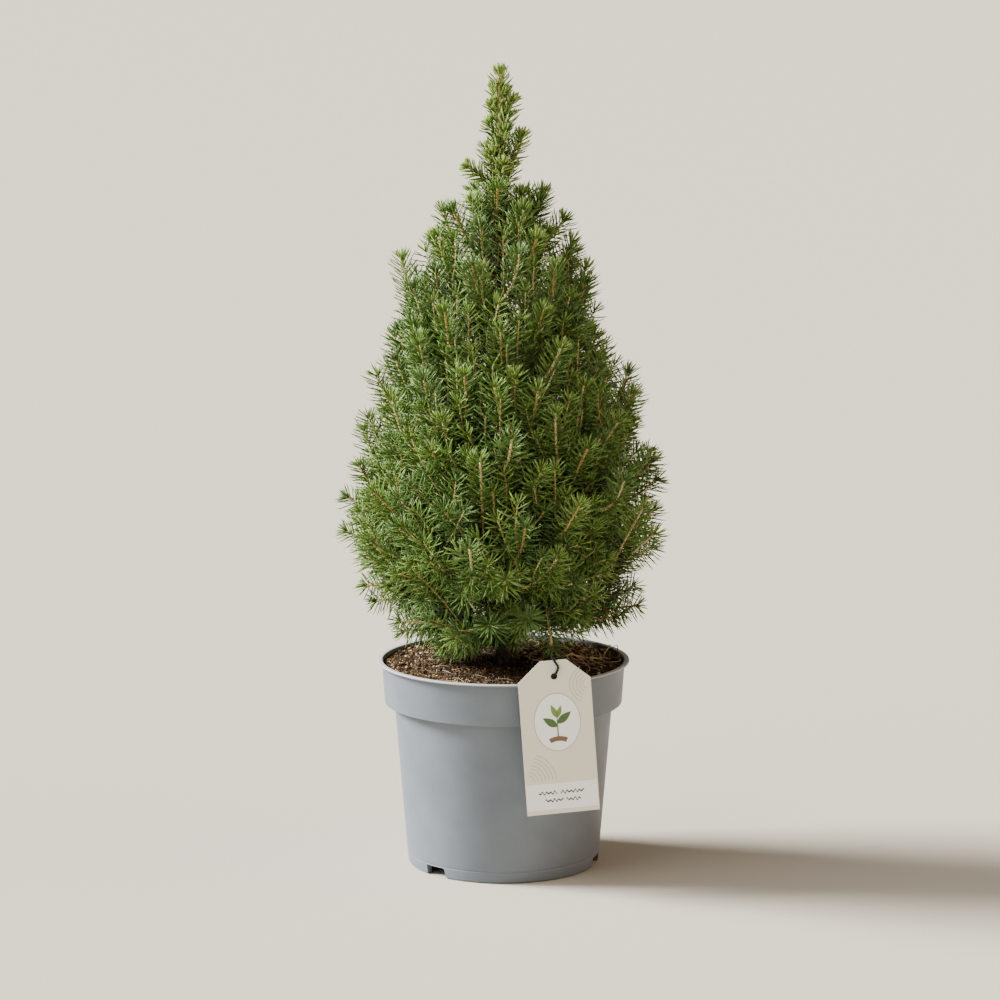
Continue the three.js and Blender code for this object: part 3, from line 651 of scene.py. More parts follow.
def stem_paths(boughs):
    """Name and path of each mass's stem."""
    stems = []
    for i, bough in enumerate(boughs):
        heading = (bough[-1] - bough[-2]).normalized()
        start = bough[-1] + heading * (GAP + STEM_SLACK)
        stems.append((f"mass_{i + 1:02d}", stem_from(start, heading, STEM_BEND, i, 21)))
    for i in range(UPPER_MASS_COUNT):
        start, heading = leaving_trunk(BOUGH_COUNT + i, i / (UPPER_MASS_COUNT - 1), UPPER_HEIGHTS,
                                       UPPER_CLIMBS, STEM_RADIUS)
        stems.append((f"upper_mass_{i + 1:02d}", stem_from(start, heading, UPPER_STEM_BEND, i, 22)))
    leader = [trunk_middle(TRUNK_TOP + GAP + STEM_SLACK)]
    while leader[-1].z < CROWN_TOP - BUD_LENGTH - STEM_STEP:
        leader.append(trunk_middle(leader[-1].z + STEM_STEP))
    return stems + [("leader_mass", leader)]


boughs = bough_paths()
stems = stem_paths(boughs)
sites = [points[int(len(points) * ROOM_SITE)] for name, points in stems]
print("limbs:", len(boughs), "boughs and", len(stems), "stems")

# %% [markdown]
# ## Shoots and twigs
#
# Every mass sends shoots to tips that are spread evenly over the crown, in one long spiral from
# its foot to its top, where the CAD solids stop. Here the same kind of spiral is walked again
# with closer steps, just under the surface and deeper in, and each of its tips gets a twig. The
# shoots of a dwarf spruce are straight and steep: each runs for some centimetres in the way of
# its tip, and starts on whichever bough, stem or shoot lies behind it. The shoots that stand
# out in the picture are placed first, by where their tips are seen and how they lean.


# %% Tips spread over the crown
CROWN_PER_SHOOT = 1120.0
LOWEST_SHOOT = 158.0
HIGHEST_SHOOT = 464.0
LEAST_SPIRAL_REACH = 18.0
TIP_INSIDE = 6.5
HIGH_TIP_INSIDE = 13.0
HIGH_FROM = (385.0, 420.0)
LEAST_TIP_SHARE = 0.4
SLOPE_STEP = 4.0

# How steeply shoots climb: height, degrees
CLIMBS = [(150, -18), (166, 2), (190, 21), (212, 32), (245, 43), (275, 54), (330, 68), (410, 79),
          (CROWN_TOP, 86)]
CLIMB_SPREAD = 26.0

OPEN_BELOW = 168.0
OPEN_RIGHT_OF = 42.0
THIN_BELOW = 202.0
THIN_ABOVE = 398.0
THIN_SHARES = (0.5, 0.62)
HOLLOW_BELOW = 200.0
HOLLOW_SIDES = (-28.0, 44.0)
HOLLOW_SHARE = 0.86


def spiral_tips(area, shares, first_turn, key):
    """Tips spread evenly over the crown, one for each area of its surface."""
    tips = []
    height = LOWEST_SHOOT
    n = 0
    while height < HIGHEST_SHOOT:
        turn = math.radians(first_turn + n * SPIRAL_TURN)
        x, y = math.cos(turn), math.sin(turn)
        reach = crown_reach(height, x, y)
        wider = crown_reach(height + SLOPE_STEP, x, y) - crown_reach(height - SLOPE_STEP, x, y)
        inside = np.interp(height, HIGH_FROM, (TIP_INSIDE, HIGH_TIP_INSIDE))
        out = max(reach - inside, LEAST_TIP_SHARE * reach) * lerp(*shares, chance(n, key))
        tips.append(Vector((x * out, y * out, height)))
        around = 2 * math.pi * max(reach, LEAST_SPIRAL_REACH)
        height += area / (around * math.hypot(1, wider / (2 * SLOPE_STEP)))
        n += 1
    return tips


def rising(tip, swing, *keys):
    """The way of a shoot at its tip: as steep as its height asks, and swung a little sideways."""
    heights, climbs = zip(*CLIMBS)
    climb = np.interp(tip.z, heights, climbs) + CLIMB_SPREAD * (chance(1, *keys) - 0.5)
    turn = math.degrees(math.atan2(tip.y, tip.x)) + swing * (chance(2, *keys) - 0.5)
    return way_out(turn, climb)[1]


def open_place(tip, n):
    """Whether the crown is open at a tip: low down on its right, in the dark hollow in front of
    the trunk's foot, and thinly all round its foot and its shoulders."""
    if tip.z < OPEN_BELOW and tip.x > OPEN_RIGHT_OF:
        return True
    if tip.z < HOLLOW_BELOW and tip.y < 0 and HOLLOW_SIDES[0] < tip.x < HOLLOW_SIDES[1]:
        return chance(n, 58) < HOLLOW_SHARE
    if tip.z < THIN_BELOW:
        return chance(n, 58) < THIN_SHARES[0]
    return tip.z > THIN_ABOVE and chance(n, 58) < THIN_SHARES[1]


print("shoots climb from", CLIMBS[0][1], "to", CLIMBS[-1][1], "degrees")

# %% The shoots that stand out in the picture
# Each shoot's place across and down in the picture, how far it faces the camera from 0 to 1, its
# lean to the right and towards the camera in degrees, and its length in millimetres
LEADER_TUFTS = [
    (515, 94, 0.3, 24, 10, 17), (487, 117, 0.2, -24, 5, 17), (524, 129, 0.0, 22, 0, 28),
    (489, 146, 0.4, -22, 14, 18), (462, 163, 0.0, -56, 0, 30), (523, 187, 0.3, 14, 8, 24),
    (470, 193, 0.2, -28, 5, 20), (508, 108, 0.0, 12, -40, 14), (497, 137, 0.0, -10, -45, 14),
    (508, 166, 0.0, 10, -45, 16), (500, 196, 0.0, -15, -40, 18), (505, 158, 0.8, 8, 26, 14),
    (494, 81, 0.2, -12, 8, 14), (506, 84, 0.2, 13, 8, 14), (491, 98, 0.3, -17, 8, 14),
]
SEEN_SHOOTS = [
    (545, 186, 0.0, 20, 0, 44), (442, 204, 0.1, -15, 0, 54), (567, 214, 0.0, 30, 0, 28),
    (550, 226, 0.5, 12, 14, 40), (574, 235, 0.2, 20, 5, 34), (401, 252, 0.0, -9, 0, 60),
    (586, 261, 0.0, 6, 0, 36), (434, 264, 0.5, -9, 10, 46), (479, 264, 0.8, -6, 12, 74),
    (520, 246, 0.9, 4, 16, 40), (545, 305, 0.85, 15, 15, 62), (399, 322, 0.3, -9, 5, 76),
    (600, 352, 0.5, 14, 8, 52), (630, 366, 0.0, 18, 0, 48), (375, 368, 0.0, -18, 0, 46),
    (464, 368, 0.9, -3, 20, 70), (495, 380, 0.95, -3, 30, 40), (539, 383, 0.95, 7, 20, 62),
    (365, 411, 0.1, -25, 0, 50), (573, 434, 0.8, 16, 18, 48), (610, 446, 0.6, 14, 14, 68),
    (441, 450, 0.8, -12, 22, 45), (480, 454, 0.95, -2, 24, 54), (656, 454, 0.0, 34, 0, 42),
    (342, 493, 0.0, -54, 0, 44), (396, 492, 0.5, -32, 38, 40), (658, 505, 0.1, 46, 5, 36),
    (590, 510, 0.75, 32, 45, 40), (340, 528, 0.0, -64, 0, 42), (565, 540, 0.85, 25, 56, 40),
    (660, 543, 0.0, 62, 0, 42), (490, 575, 0.95, -12, 64, 36), (507, 577, 1.0, 4, 68, 36),
    (359, 586, 0.0, -92, 0, 42), (553, 575, 0.9, 22, 66, 36), (645, 605, 0.1, 84, 5, 46),
    (530, 618, 0.95, 14, 74, 34), (458, 642, 0.9, -60, 70, 32), (440, 651, 0.85, -80, 58, 34),
    (396, 632, 0.4, -92, 22, 38), (553, 654, 1.25, 172, 34, 30), (368, 602, 0.1, -96, 5, 40),
    (498, 643, 0.5, -172, 30, 26), (516, 648, 0.6, 170, 36, 26), (420, 600, 0.8, -70, 66, 34),
    (586, 612, 0.7, 70, 58, 34), (412, 560, 0.75, -52, 60, 36),
]
PICTURE = 1000
SETTLING_ROUNDS = 6
BRUSH_REACH = 5.5
LOW_SEEN = 200.0
LOW_SEEN_REACH = 45.0


def seen_place(across, down, front):
    """The place on the crown's surface that is seen at a place of the picture, or a place near
    the trunk where the shoots hang under the crown."""
    focal = PICTURE * CAMERA_LENS / SENSOR_WIDTH
    right, up = (across - PICTURE / 2) / focal, (PICTURE / 2 - down) / focal
    level, rise = math.cos(CAMERA_DOWN), math.sin(CAMERA_DOWN)
    way = Vector((right, level + up * rise, up * level - rise))
    eye = CAMERA_PLACE / MM
    y = 0.0
    for settling in range(SETTLING_ROUNDS):
        place = eye + way * ((y - eye.y) / way.y)
        reach = crown_reach(place.z, place.x, y)
        if place.z < LOW_SEEN:
            reach = max(reach, LOW_SEEN_REACH)
        y = -front * math.sqrt(max(reach ** 2 - place.x ** 2, 0))
    return place


def leaning(lean, toward):
    """The way of a shoot that leans to the right and towards the camera."""
    lean, toward = math.radians(lean), math.radians(toward)
    return Vector((math.sin(lean) * math.cos(toward), -math.sin(toward),
                   math.cos(lean) * math.cos(toward)))


def seen_shoot(across, down, front, lean, toward, length):
    """Tip, way and length of a shoot in the picture, where the end of its brush is what shows."""
    heading = leaning(lean, toward)
    return seen_place(across, down, front) - heading * BRUSH_REACH, heading, length


print("seen:", len(SEEN_SHOOTS), "shoots and", len(LEADER_TUFTS), "tufts of the leader")

# %% Paths from a foot to a tip
STRAIGHT_SHARE = 0.7
ASIDE_COST = 1.5
BACKWARD_COST = 30.0
LEAST_AHEAD = 0.5
LEAST_FORWARD = 0.25
PATH_STEP = 5.0


def units(rows):
    """Each row as a direction of length 1."""
    return rows / np.maximum(np.linalg.norm(rows, axis=1, keepdims=True), 1e-9)


def resampled(points, step=PATH_STEP):
    """The same path with short steps."""
    out = [points[0]]
    for first, second in zip(points, points[1:]):
        parts = max(1, round((second - first).length / step))
        out += [first.lerp(second, (k + 1) / parts) for k in range(parts)]
    return out


def feet_on(paths):
    """Places along some paths where a shoot can start, and the paths' ways there."""
    feet = [(path[k], path[k + 1] - path[k - 1]) for path in paths for k in range(1, len(path) - 1)]
    return (np.array([tuple(place) for place, way in feet]),
            units(np.array([tuple(way) for place, way in feet])))


def straight_path(foot, tip, heading):
    """A path that soon turns into the way of its tip and then runs straight."""
    distance = (tip - foot).length
    middle = tip - heading * STRAIGHT_SHARE * distance
    steps = max(3, round(distance / PATH_STEP))
    shares = [k / steps for k in range(steps + 1)]
    return [foot.lerp(middle, s).lerp(middle.lerp(tip, s), s) for s in shares]


def shoot_path(tip, heading, length, feet):
    """The path of a shoot that runs straight to its tip for about this length, from the best of
    some feet, and what the foot costs."""
    places, along = feet
    ways = np.array(tuple(tip)) - places
    ahead = ways @ np.array(tuple(heading))
    aside = np.linalg.norm(ways - ahead[:, None] * np.array(tuple(heading)), axis=1)
    backward = np.maximum(LEAST_FORWARD - (units(ways) * along).sum(axis=1), 0)
    cost = ASIDE_COST * aside + abs(ahead - length) + BACKWARD_COST * backward
    cost[ahead < LEAST_AHEAD * length] = np.inf
    best = int(cost.argmin())
    return straight_path(Vector(places[best]), tip, heading), cost[best]


print("paths go in steps of", PATH_STEP, "mm")

# %% Growing the shoots and twigs
SHOOT_SHARES = (0.86, 1.06)
SHOOT_LENGTHS = (48.0, 76.0)
SWING = 44.0
TWIG_LAYERS = [
    # area of the crown per twig, shares of its reach, least reach, first turn, swing, key
    (350.0, (0.76, 1.0), 0.0, 61.0, 84.0, 52),
    (300.0, (0.58, 0.80), 22.0, 17.0, 84.0, 53),
    (400.0, (0.30, 0.58), 34.0, 95.0, 90.0, 54),
]
TWIG_LENGTHS = (24.0, 54.0)
WORST_FOOT = 46.0
TRUNK_FEET = (300.0, 528.0)
ROOM_ROUND_SEEN = 15.0
STEEP_FROM = 462.0
STEEP_LENGTH = 22.0


def nearest_mass(p):
    """The mass whose middle is nearest to a place."""
    return min(range(len(sites)), key=lambda i: (sites[i] - p).length_squared)


class Mass:
    """A mass of foliage: its name, the limb that carries it, its stem, shoots and twigs."""

    def __init__(self, name, limb, stem):
        self.name = name
        self.limb = resampled(limb)
        self.stem = resampled(stem)
        self.shoots = []
        self.tufts = []
        self.twigs = [[] for layer in TWIG_LAYERS]


for k, (name, stem) in enumerate(stems[:-1]):
    if stem[-1].z > STEEP_FROM:
        heading = rising(stem[-1], 0, k, 57)
        stems[k] = (name, straight_path(stem[0], stem[0] + heading * STEEP_LENGTH, heading))
trunk_path = [trunk_middle(height) for height in np.arange(*TRUNK_FEET, PATH_STEP)]
limbs = boughs + [trunk_path] * (len(stems) - len(boughs))
masses = [Mass(name, limb, points) for (name, points), limb in zip(stems, limbs)]
wood_paths = [mass.limb for mass in masses[:len(boughs) + 1]] + [mass.stem for mass in masses]
wood = feet_on(wood_paths)
seen = [seen_shoot(*row) for row in SEEN_SHOOTS]
for tip, heading, length in [seen_shoot(*row) for row in LEADER_TUFTS]:
    masses[-1].tufts.append(shoot_path(tip, heading, length, wood)[0])
tufted = seen + [(path[-1],) for path in masses[-1].tufts]
for n, tip in enumerate(spiral_tips(CROWN_PER_SHOOT, SHOOT_SHARES, 0, 51)):
    if min((tip - row[0]).length for row in tufted) > ROOM_ROUND_SEEN and not open_place(tip, n):
        seen.append((tip, rising(tip, SWING, n, 55), lerp(*SHOOT_LENGTHS, chance(n, 56))))
for tip, heading, length in seen:
    masses[nearest_mass(tip)].shoots.append(shoot_path(tip, heading, length, wood)[0])
feet = feet_on(wood_paths + [path for mass in masses for path in mass.shoots])
for layer, (area, shares, least_reach, first_turn, swing, key) in enumerate(TWIG_LAYERS):
    for n, tip in enumerate(spiral_tips(area, shares, first_turn, key)):
        path, cost = shoot_path(tip, rising(tip, swing, n, key + 10),
                                lerp(*TWIG_LENGTHS, chance(n, key + 20)), feet)
        if open_place(tip, n) or crown_reach(tip.z, tip.x, tip.y) < least_reach:
            continue
        if cost < WORST_FOOT:
            masses[nearest_mass(tip)].twigs[layer].append(path)
print("shoots:", sum(len(m.shoots) for m in masses), "twigs:",
      [sum(len(m.twigs[layer]) for m in masses) for layer in range(len(TWIG_LAYERS))],
      "leader tufts:", len(masses[-1].tufts))

# %% [markdown]
# ## The shape of one needle
#
# A spruce needle is stiff, a millimetre thick and pointed, and bends only a little. Tens of
# thousands of them have to fit, so each has three sides and ten faces: a triangle at the foot
# that is extruded to its thickest part, and again to the point. Deep in the crown a plainer one
# with four faces will do, drawn straight from its foot to its point.


# %% The two needles
FULL_RINGS = (0.85, ((0.74, 1.0), (1.0, 0.0)))
PLAIN_RINGS = (0.95, ((1.0, 0.0),))
FULL, PLAIN = range(2)


def arrays_of(bm):
    """Corners and triangles of a bmesh as arrays."""
    bm.verts.ensure_lookup_table()
    corners = np.array([tuple(v.co) for v in bm.verts])
    triangles = np.array([[v.index for v in f.verts] for f in bm.faces])
    bm.free()
    return corners, triangles


def needle_shape(foot_radius, rings):
    """Corners and triangles of one needle of length 1 and radius 1, along Z."""
    bm = bmesh.new()
    bmesh.ops.create_circle(bm, cap_ends=True, segments=3, radius=1.0)
    face = bm.faces[:]
    for vert in bm.verts:
        vert.co *= foot_radius
    radius = foot_radius
    for height, wider in rings:
        face = bmesh.ops.extrude_discrete_faces(bm, faces=face)["faces"]
        for vert in face[0].verts:
            vert.co = Vector((vert.co.x * wider / radius, vert.co.y * wider / radius, height))
        radius = wider
    bmesh.ops.remove_doubles(bm, verts=bm.verts[:], dist=1e-4)
    bmesh.ops.holes_fill(bm, edges=bm.edges[:], sides=3)
    bmesh.ops.triangulate(bm, faces=bm.faces[:])
    bmesh.ops.recalc_face_normals(bm, faces=bm.faces[:])
    return arrays_of(bm)


needle_shapes = [needle_shape(*FULL_RINGS), needle_shape(*PLAIN_RINGS)]
print("needles:", [len(triangles) for corners, triangles in needle_shapes], "triangles")

# %% [markdown]
# ## Where the needles stand
#
# Needles stand round a shoot in the same golden-angle spiral as the boughs round the trunk. They
# lean away from it by about sixty degrees at its foot and close up to a soft brush at its tip,
# where they are shorter and of a fresh green. The leader and its tufts are denser and steeper.
# Deep in the crown the old twigs are bare. Each shoot deals its own greens: one for its brush,
# three for its length and two for its older end. Shoots deeper in the crown get only the darker
# greens, partly older needles and partly painted shade, and a few needles near the surface take a
# pale green that is a painted glint.


# %% Kinds of needling and their greens
NEEDLE_RADIUS = 0.43
THICK_RADIUS = 0.56

# How needles stand on a kind of shoot: their shape and length, the step from one to the next,
# their lean at the foot and at the tip, the brush at its end, and their radius
Needling = namedtuple(
    "Needling", "shape length spacing leans brush_lean brush_length brush_needles radius",
    defaults=[NEEDLE_RADIUS])
SHOOT = Needling(FULL, 15.8, 0.5, (64.0, 53.0), 52.0, 6.0, 11)
LOW = Needling(FULL, 15.4, 0.46, (78.0, 70.0), 66.0, 5.0, 11)
UPRIGHT = Needling(FULL, 15.8, 0.46, (56.0, 45.0), 44.0, 7.0, 16)
TWIG = Needling(FULL, 15.0, 0.9, (70.0, 56.0), 52.0, 6.0, 6)
INNER = Needling(PLAIN, 15.0, 1.1, (76.0, 58.0), 52.0, 6.0, 3)
LEADER = Needling(FULL, 13.6, 0.44, (52.0, 44.0), 38.0, 6.0, 56, THICK_RADIUS)
TUFT = Needling(FULL, 12.8, 0.42, (54.0, 46.0), 48.0, 6.0, 22, THICK_RADIUS)

GREENS = {
    "fresh_green": (134, 158, 76),
    "bright_green": (118, 147, 66),
    "leaf_green": (99, 130, 56),
    "cool_green": (86, 116, 57),
    "deep_green": (57, 80, 39),
    # The darkest green: old needles, and painted shade deep in the crown.
    "old_green": (38, 52, 28),
    # A pale green for a few needles: a painted glint.
    "pale_green": (142, 160, 104),
}
FRESH, BRIGHT, LEAF, COOL, DEEP, OLD_AND_SHADED, PAINTED_GLINT = range(len(GREENS))
print("greens:", ", ".join(GREENS))

# %% The needles of one shoot
BARE_FROM = 168.0
BARE_BELOW = 420.0
LEAST_NEEDLED_SHARE = 0.42
LEAST_NEEDLED = 5.0
YOUNG_LENGTH = 38.0
NEEDLE_LIFT = 0.05
SAG_RANGE = (-0.02, 0.1)
LEAN_SPREAD = 7.0
LENGTH_SPREAD = (0.8, 1.08)
RADIUS_SPREAD = (0.86, 1.12)
JITTER = 0.3
BRUSH_CURVE = 1.2
BRUSH_CLOSING = 0.35
BRUSH_SHORTER = 0.34
SHORT_FOOT = 8.0
SHORTEST_SHARE = 0.6
STEEP_PATH = 0.8
MAIN_GREENS = [(1.0, FRESH), (0.78, BRIGHT), (0.34, LEAF), (-1.0, COOL)]
MAIN_SHARE = 0.62
LEAF_SHARE = 0.85
DEEP_SHARE = 0.6
# Past this share a needle takes the pale green, a painted glint.
PAINTED_GLINT_FROM = 0.97
FRESH_TIP_TONE = 0.85
BRIGHT_TIP_TONE = 0.45
TIP_BRUSH = 0.4
YOUNG_SPREAD = (0.8, 1.25)
dealer = np.random.default_rng(SEED)


def path_stations(path, stations):
    """Places and directions at distances along a path."""
    points = np.array([tuple(p) for p in path])
    gone = np.concatenate([[0], np.cumsum(np.linalg.norm(np.diff(points, axis=0), axis=1))])

    def places_at(distances):
        return np.column_stack([np.interp(distances, gone, points[:, n]) for n in range(3)])

    return places_at(stations), units(places_at(stations + 1) - places_at(stations - 1))


def side_ways(along):
    """Two ways across a path at each of its places."""
    level = abs(along.mean(axis=0)[2]) < STEEP_PATH
    across = units(np.cross(along, np.array([0.0, 0.0, 1.0] if level else [1.0, 0.0, 0.0])))
    return across, np.cross(along, across)


def path_length(path):
    """How long a path is."""
    return sum((second - first).length for first, second in zip(path, path[1:]))


def bare_length(path):
    """How far along a path its needles begin: old wood deep in the crown is bare."""
    gone = 0.0
    for first, second in zip(path, path[1:]):
        if crown_share(second) > LEAST_NEEDLED_SHARE or not BARE_FROM < second.z < BARE_BELOW:
            return gone
        gone += (second - first).length
    return gone


def needles_on(path, first, tone, deep, kind):
    """Shape of the needles on one path, and their feet, ways, bends, lengths, radii, sags and
    greens."""
    whole = path_length(path)
    start = max(first, bare_length(path))
    if whole - start < LEAST_NEEDLED:
        start = max(whole - LEAST_NEEDLED, 0)
    stations = np.arange(start, whole, kind.spacing)
    stations = np.concatenate([stations, np.full(kind.brush_needles, whole - JITTER)])
    count = len(stations)
    stations = np.clip(stations + dealer.uniform(-JITTER, JITTER, count), 0, whole)
    places, along = path_stations(path, stations)
    across, other = side_ways(along)
    turn = np.radians(SPIRAL_TURN) * np.arange(count) + dealer.uniform(-JITTER, JITTER, count)
    outward = across * np.cos(turn)[:, None] + other * np.sin(turn)[:, None]
    left = whole - stations
    brush = np.clip(1 - left / kind.brush_length, 0, 1) ** BRUSH_CURVE
    lean = lerp(*kind.leans, stations / whole) * (1 - BRUSH_CLOSING * brush)
    lean[-kind.brush_needles:] = kind.brush_lean * np.sqrt(dealer.uniform(0, 1, kind.brush_needles))
    lean = np.radians(lean + dealer.uniform(-LEAN_SPREAD, LEAN_SPREAD, count))
    ways = along * np.cos(lean)[:, None] + outward * np.sin(lean)[:, None]
    ways[:, 2] += NEEDLE_LIFT * (1 - brush)
    ways = units(ways)
    bends = units(along - ways * (along * ways).sum(axis=1, keepdims=True))
    short = np.clip((stations - start) / SHORT_FOOT, SHORTEST_SHARE, 1)
    lengths = kind.length * (1 - BRUSH_SHORTER * brush) * short
    lengths = lengths * dealer.uniform(*LENGTH_SPREAD, count)
    radii = kind.radius * dealer.uniform(*RADIUS_SPREAD, count)
    sags = dealer.uniform(*SAG_RANGE, count)
    greens = needle_greens(left, brush, tone, deep)
    return kind.shape, (places, ways, bends, lengths, radii, sags, greens)


def needle_greens(left, brush, tone, deep):
    """Deals the greens of one shoot by the distance that is left to its tip. deep is how far under
    the crown's surface the shoot is, in layers; deeper shoots get only the darker greens, partly
    older needles and partly painted shade, and a few needles near the surface get a pale painted
    glint."""
    count = len(left)
    dealt = dealer.uniform(0, 1, count)
    # Shoots under the surface get dark greens: partly older needles, partly painted shade.
    if deep > 1:
        return np.where(dealt < 0.5, OLD_AND_SHADED, DEEP)
    main = next(green for least, green in MAIN_GREENS if tone > least)
    if deep:
        main = COOL if tone > 0.5 else DEEP
    greens = np.where(dealt < MAIN_SHARE, main, np.where(dealt < LEAF_SHARE, LEAF, COOL))
    old = left > YOUNG_LENGTH * dealer.uniform(*YOUNG_SPREAD, count)
    greens = np.where(old, np.where(dealt < DEEP_SHARE, DEEP, OLD_AND_SHADED), greens)
    tip_green = FRESH if tone > FRESH_TIP_TONE else BRIGHT if tone > BRIGHT_TIP_TONE else main
    at_tip = (brush > TIP_BRUSH) & (deep == 0)
    greens = np.where(at_tip, np.where(dealt < 0.5, tip_green, main), greens)
    # A few young needles near the surface get the pale green: a painted glint.
    return np.where((dealt > PAINTED_GLINT_FROM) & ~old & (deep == 0), PAINTED_GLINT, greens)


print("a shoot's needles lean by", SHOOT.leans[0], "degrees at its foot")

# %% [markdown]
# ## Joining the needles
#
# The needles of neighbouring masses are joined into a handful of pieces, each well under two
# hundred thousand triangles. The masses are taken from the lowest to the highest, and a piece
# is closed when the next mass would make it too large. Each piece stands for the CAD masses
# whose needles it holds.


# %% A mesh from arrays
def array_mesh(name, corners, triangles, slots):
    """A mesh from arrays of corners, triangles and each triangle's material."""
    mesh = bpy.data.meshes.new(name)
    mesh.vertices.add(len(corners))
    mesh.vertices.foreach_set("co", corners.astype(np.float32).ravel())
    mesh.loops.add(triangles.size)
    mesh.loops.foreach_set("vertex_index", triangles.astype(np.int32).ravel())
    mesh.polygons.add(len(triangles))
    mesh.polygons.foreach_set("loop_start", np.arange(0, triangles.size, 3, dtype=np.int32))
    mesh.polygons.foreach_set("material_index", slots.astype(np.int32))
    mesh.update(calc_edges=True)
    return mesh


def needle_mesh(name, parts):
    """Joins needles of both shapes into one mesh from arrays."""
    all_corners, all_triangles, slots = [], [], []
    start = 0
    for shape, (shape_corners, shape_triangles) in enumerate(needle_shapes):
        rows = [arrays for kind, arrays in parts if kind == shape]
        if not rows:
            continue
        places, ways, bends, lengths, radii, sags, greens = map(np.concatenate, zip(*rows))
        sides = np.cross(ways, bends)
        x, y, z = shape_corners.T
        sag = sags[:, None] * 4 * z * (1 - z)
        corners = places[:, None] + ways[:, None] * (lengths[:, None] * z)[:, :, None]
        corners -= bends[:, None] * (lengths[:, None] * sag)[:, :, None]
        corners += bends[:, None] * (radii[:, None] * x)[:, :, None]
        corners += sides[:, None] * (radii[:, None] * y)[:, :, None]
        firsts = start + len(shape_corners) * np.arange(len(places))
        all_corners.append(corners.reshape(-1, 3))
        all_triangles.append((shape_triangles[None] + firsts[:, None, None]).reshape(-1, 3))
        slots.append(np.repeat(greens, len(shape_triangles)))
        start += len(all_corners[-1])
    return array_mesh(name, np.concatenate(all_corners) * MM, np.concatenate(all_triangles),
                      np.concatenate(slots))


print("slots of a needle piece:", len(GREENS))

# %% The needles
PIECE_TRIANGLES = 190_000
UPRIGHT_FROM = 372.0
LOW_TO = 222.0
TRUNK_NEEDLED_FROM = 428.0
LEADER_END = 533.8
BARE_FEET = {"shoot": 5.0, "tuft": 1.0, "twig": 2.0}

needle_finishes = plain_finishes(GREENS, 0.42, 0.34)


def kind_at(height):
    """How the needles of a shoot stand whose tip is at a height."""
    return LOW if height < LOW_TO else SHOOT if height < UPRIGHT_FROM else UPRIGHT


def mass_needles(i, mass):
    """All the needles of one mass."""
    rows = [(path, BARE_FEET["shoot"], 0, kind_at(path[-1].z))
            for path in [mass.stem] + mass.shoots]
    if mass.name == "leader_mass":
        heights = np.arange(TRUNK_NEEDLED_FROM, LEADER_END, PATH_STEP)
        rows[0] = ([trunk_middle(height) for height in heights], 0.0, 0, LEADER)
    rows += [(path, BARE_FEET["tuft"], 0, TUFT) for path in mass.tufts]
    for deep, layer in enumerate(mass.twigs):
        rows += [(path, BARE_FEET["twig"], deep, INNER if deep else TWIG) for path in layer]
    tones = {LEADER: (2, 2), TUFT: (2, 2), LOW: (0, 0.7)}
    return [needles_on(path, first, lerp(*tones.get(kind, (0, 1)), chance(i, j, 71)), deep, kind)
            for j, (path, first, deep, kind) in enumerate(rows)]


def needle_triangles(parts):
    """How many triangles some needles have."""
    return sum(len(arrays[0]) * len(needle_shapes[shape][1]) for shape, arrays in parts)


pending, held, needle_pieces = [], [], []


def close_needle_piece():
    """Makes a piece of the needles that are pending."""
    name = f"needles_{len(needle_pieces) + 1}"
    piece = placed_piece(name, needle_mesh(name, pending), needle_finishes, "needles", *held)
    needle_pieces.append(piece)
    pending.clear()
    held.clear()


for i, mass in sorted(enumerate(masses), key=lambda pair: pair[1].stem[-1].z):
    parts = mass_needles(i, mass)
    if pending and needle_triangles(pending + parts) > PIECE_TRIANGLES:
        close_needle_piece()
    pending += parts
    held.append(mass.name)
close_needle_piece()
print("needles:", [len(piece.data.polygons) for piece in needle_pieces], "triangles")

# %% [markdown]
# ## Twigs and buds
#
# The wood under the needles is golden tan on the young shoots, orange-brown further in and dark in
# the middle of the crown, partly older bark and partly painted shade. Each path becomes a slim tube
# of three to nine sides that tapers to its tip, closed at both ends, and a small bud sits in the
# brush of each shoot.


# %% The twigs
# The darkest wood, deep in the crown, is partly older bark and partly painted shade.
WOODS = {"young_twig": (206, 184, 134), "golden_twig": (180, 150, 96), "brown_twig": (112, 83, 54),
         "old_twig": (58, 43, 32), "bud_scales": (134, 102, 64)}
YOUNG, GOLDEN, BROWN, OLD_SHADED_WOOD, BUD = range(len(WOODS))
BUD_RADIUS = 0.85
BUD_SHAPE = ((-0.6, 0.5, 2.6), (0.7, 1.0, 0.25))
BUD_SIDES = 5
LEADER_WOOD_FROM = 446.0
LEADER_STEP = 2.5
YOUNG_WOOD = 34.0
GOLDEN_WOOD = 52.0
OLD_SHADED_WOOD_LEFT = 12.0
OLD_SHADED_WOOD_SHARE = 0.45
TUBE_SPREAD = (0.9, 1.12)

# Radius at the foot, radius at the tip and sides of each kind of wood
LEADER_TUBE = (4.0, 1.8, 9)
STEM_TUBE = (STEM_RADIUS, 0.9, 6)
SHOOT_TUBE = (1.2, 0.75, 5)
TUFT_TUBE = (0.9, 0.7, 4)
TWIG_TUBE = (0.65, 0.42, 3)


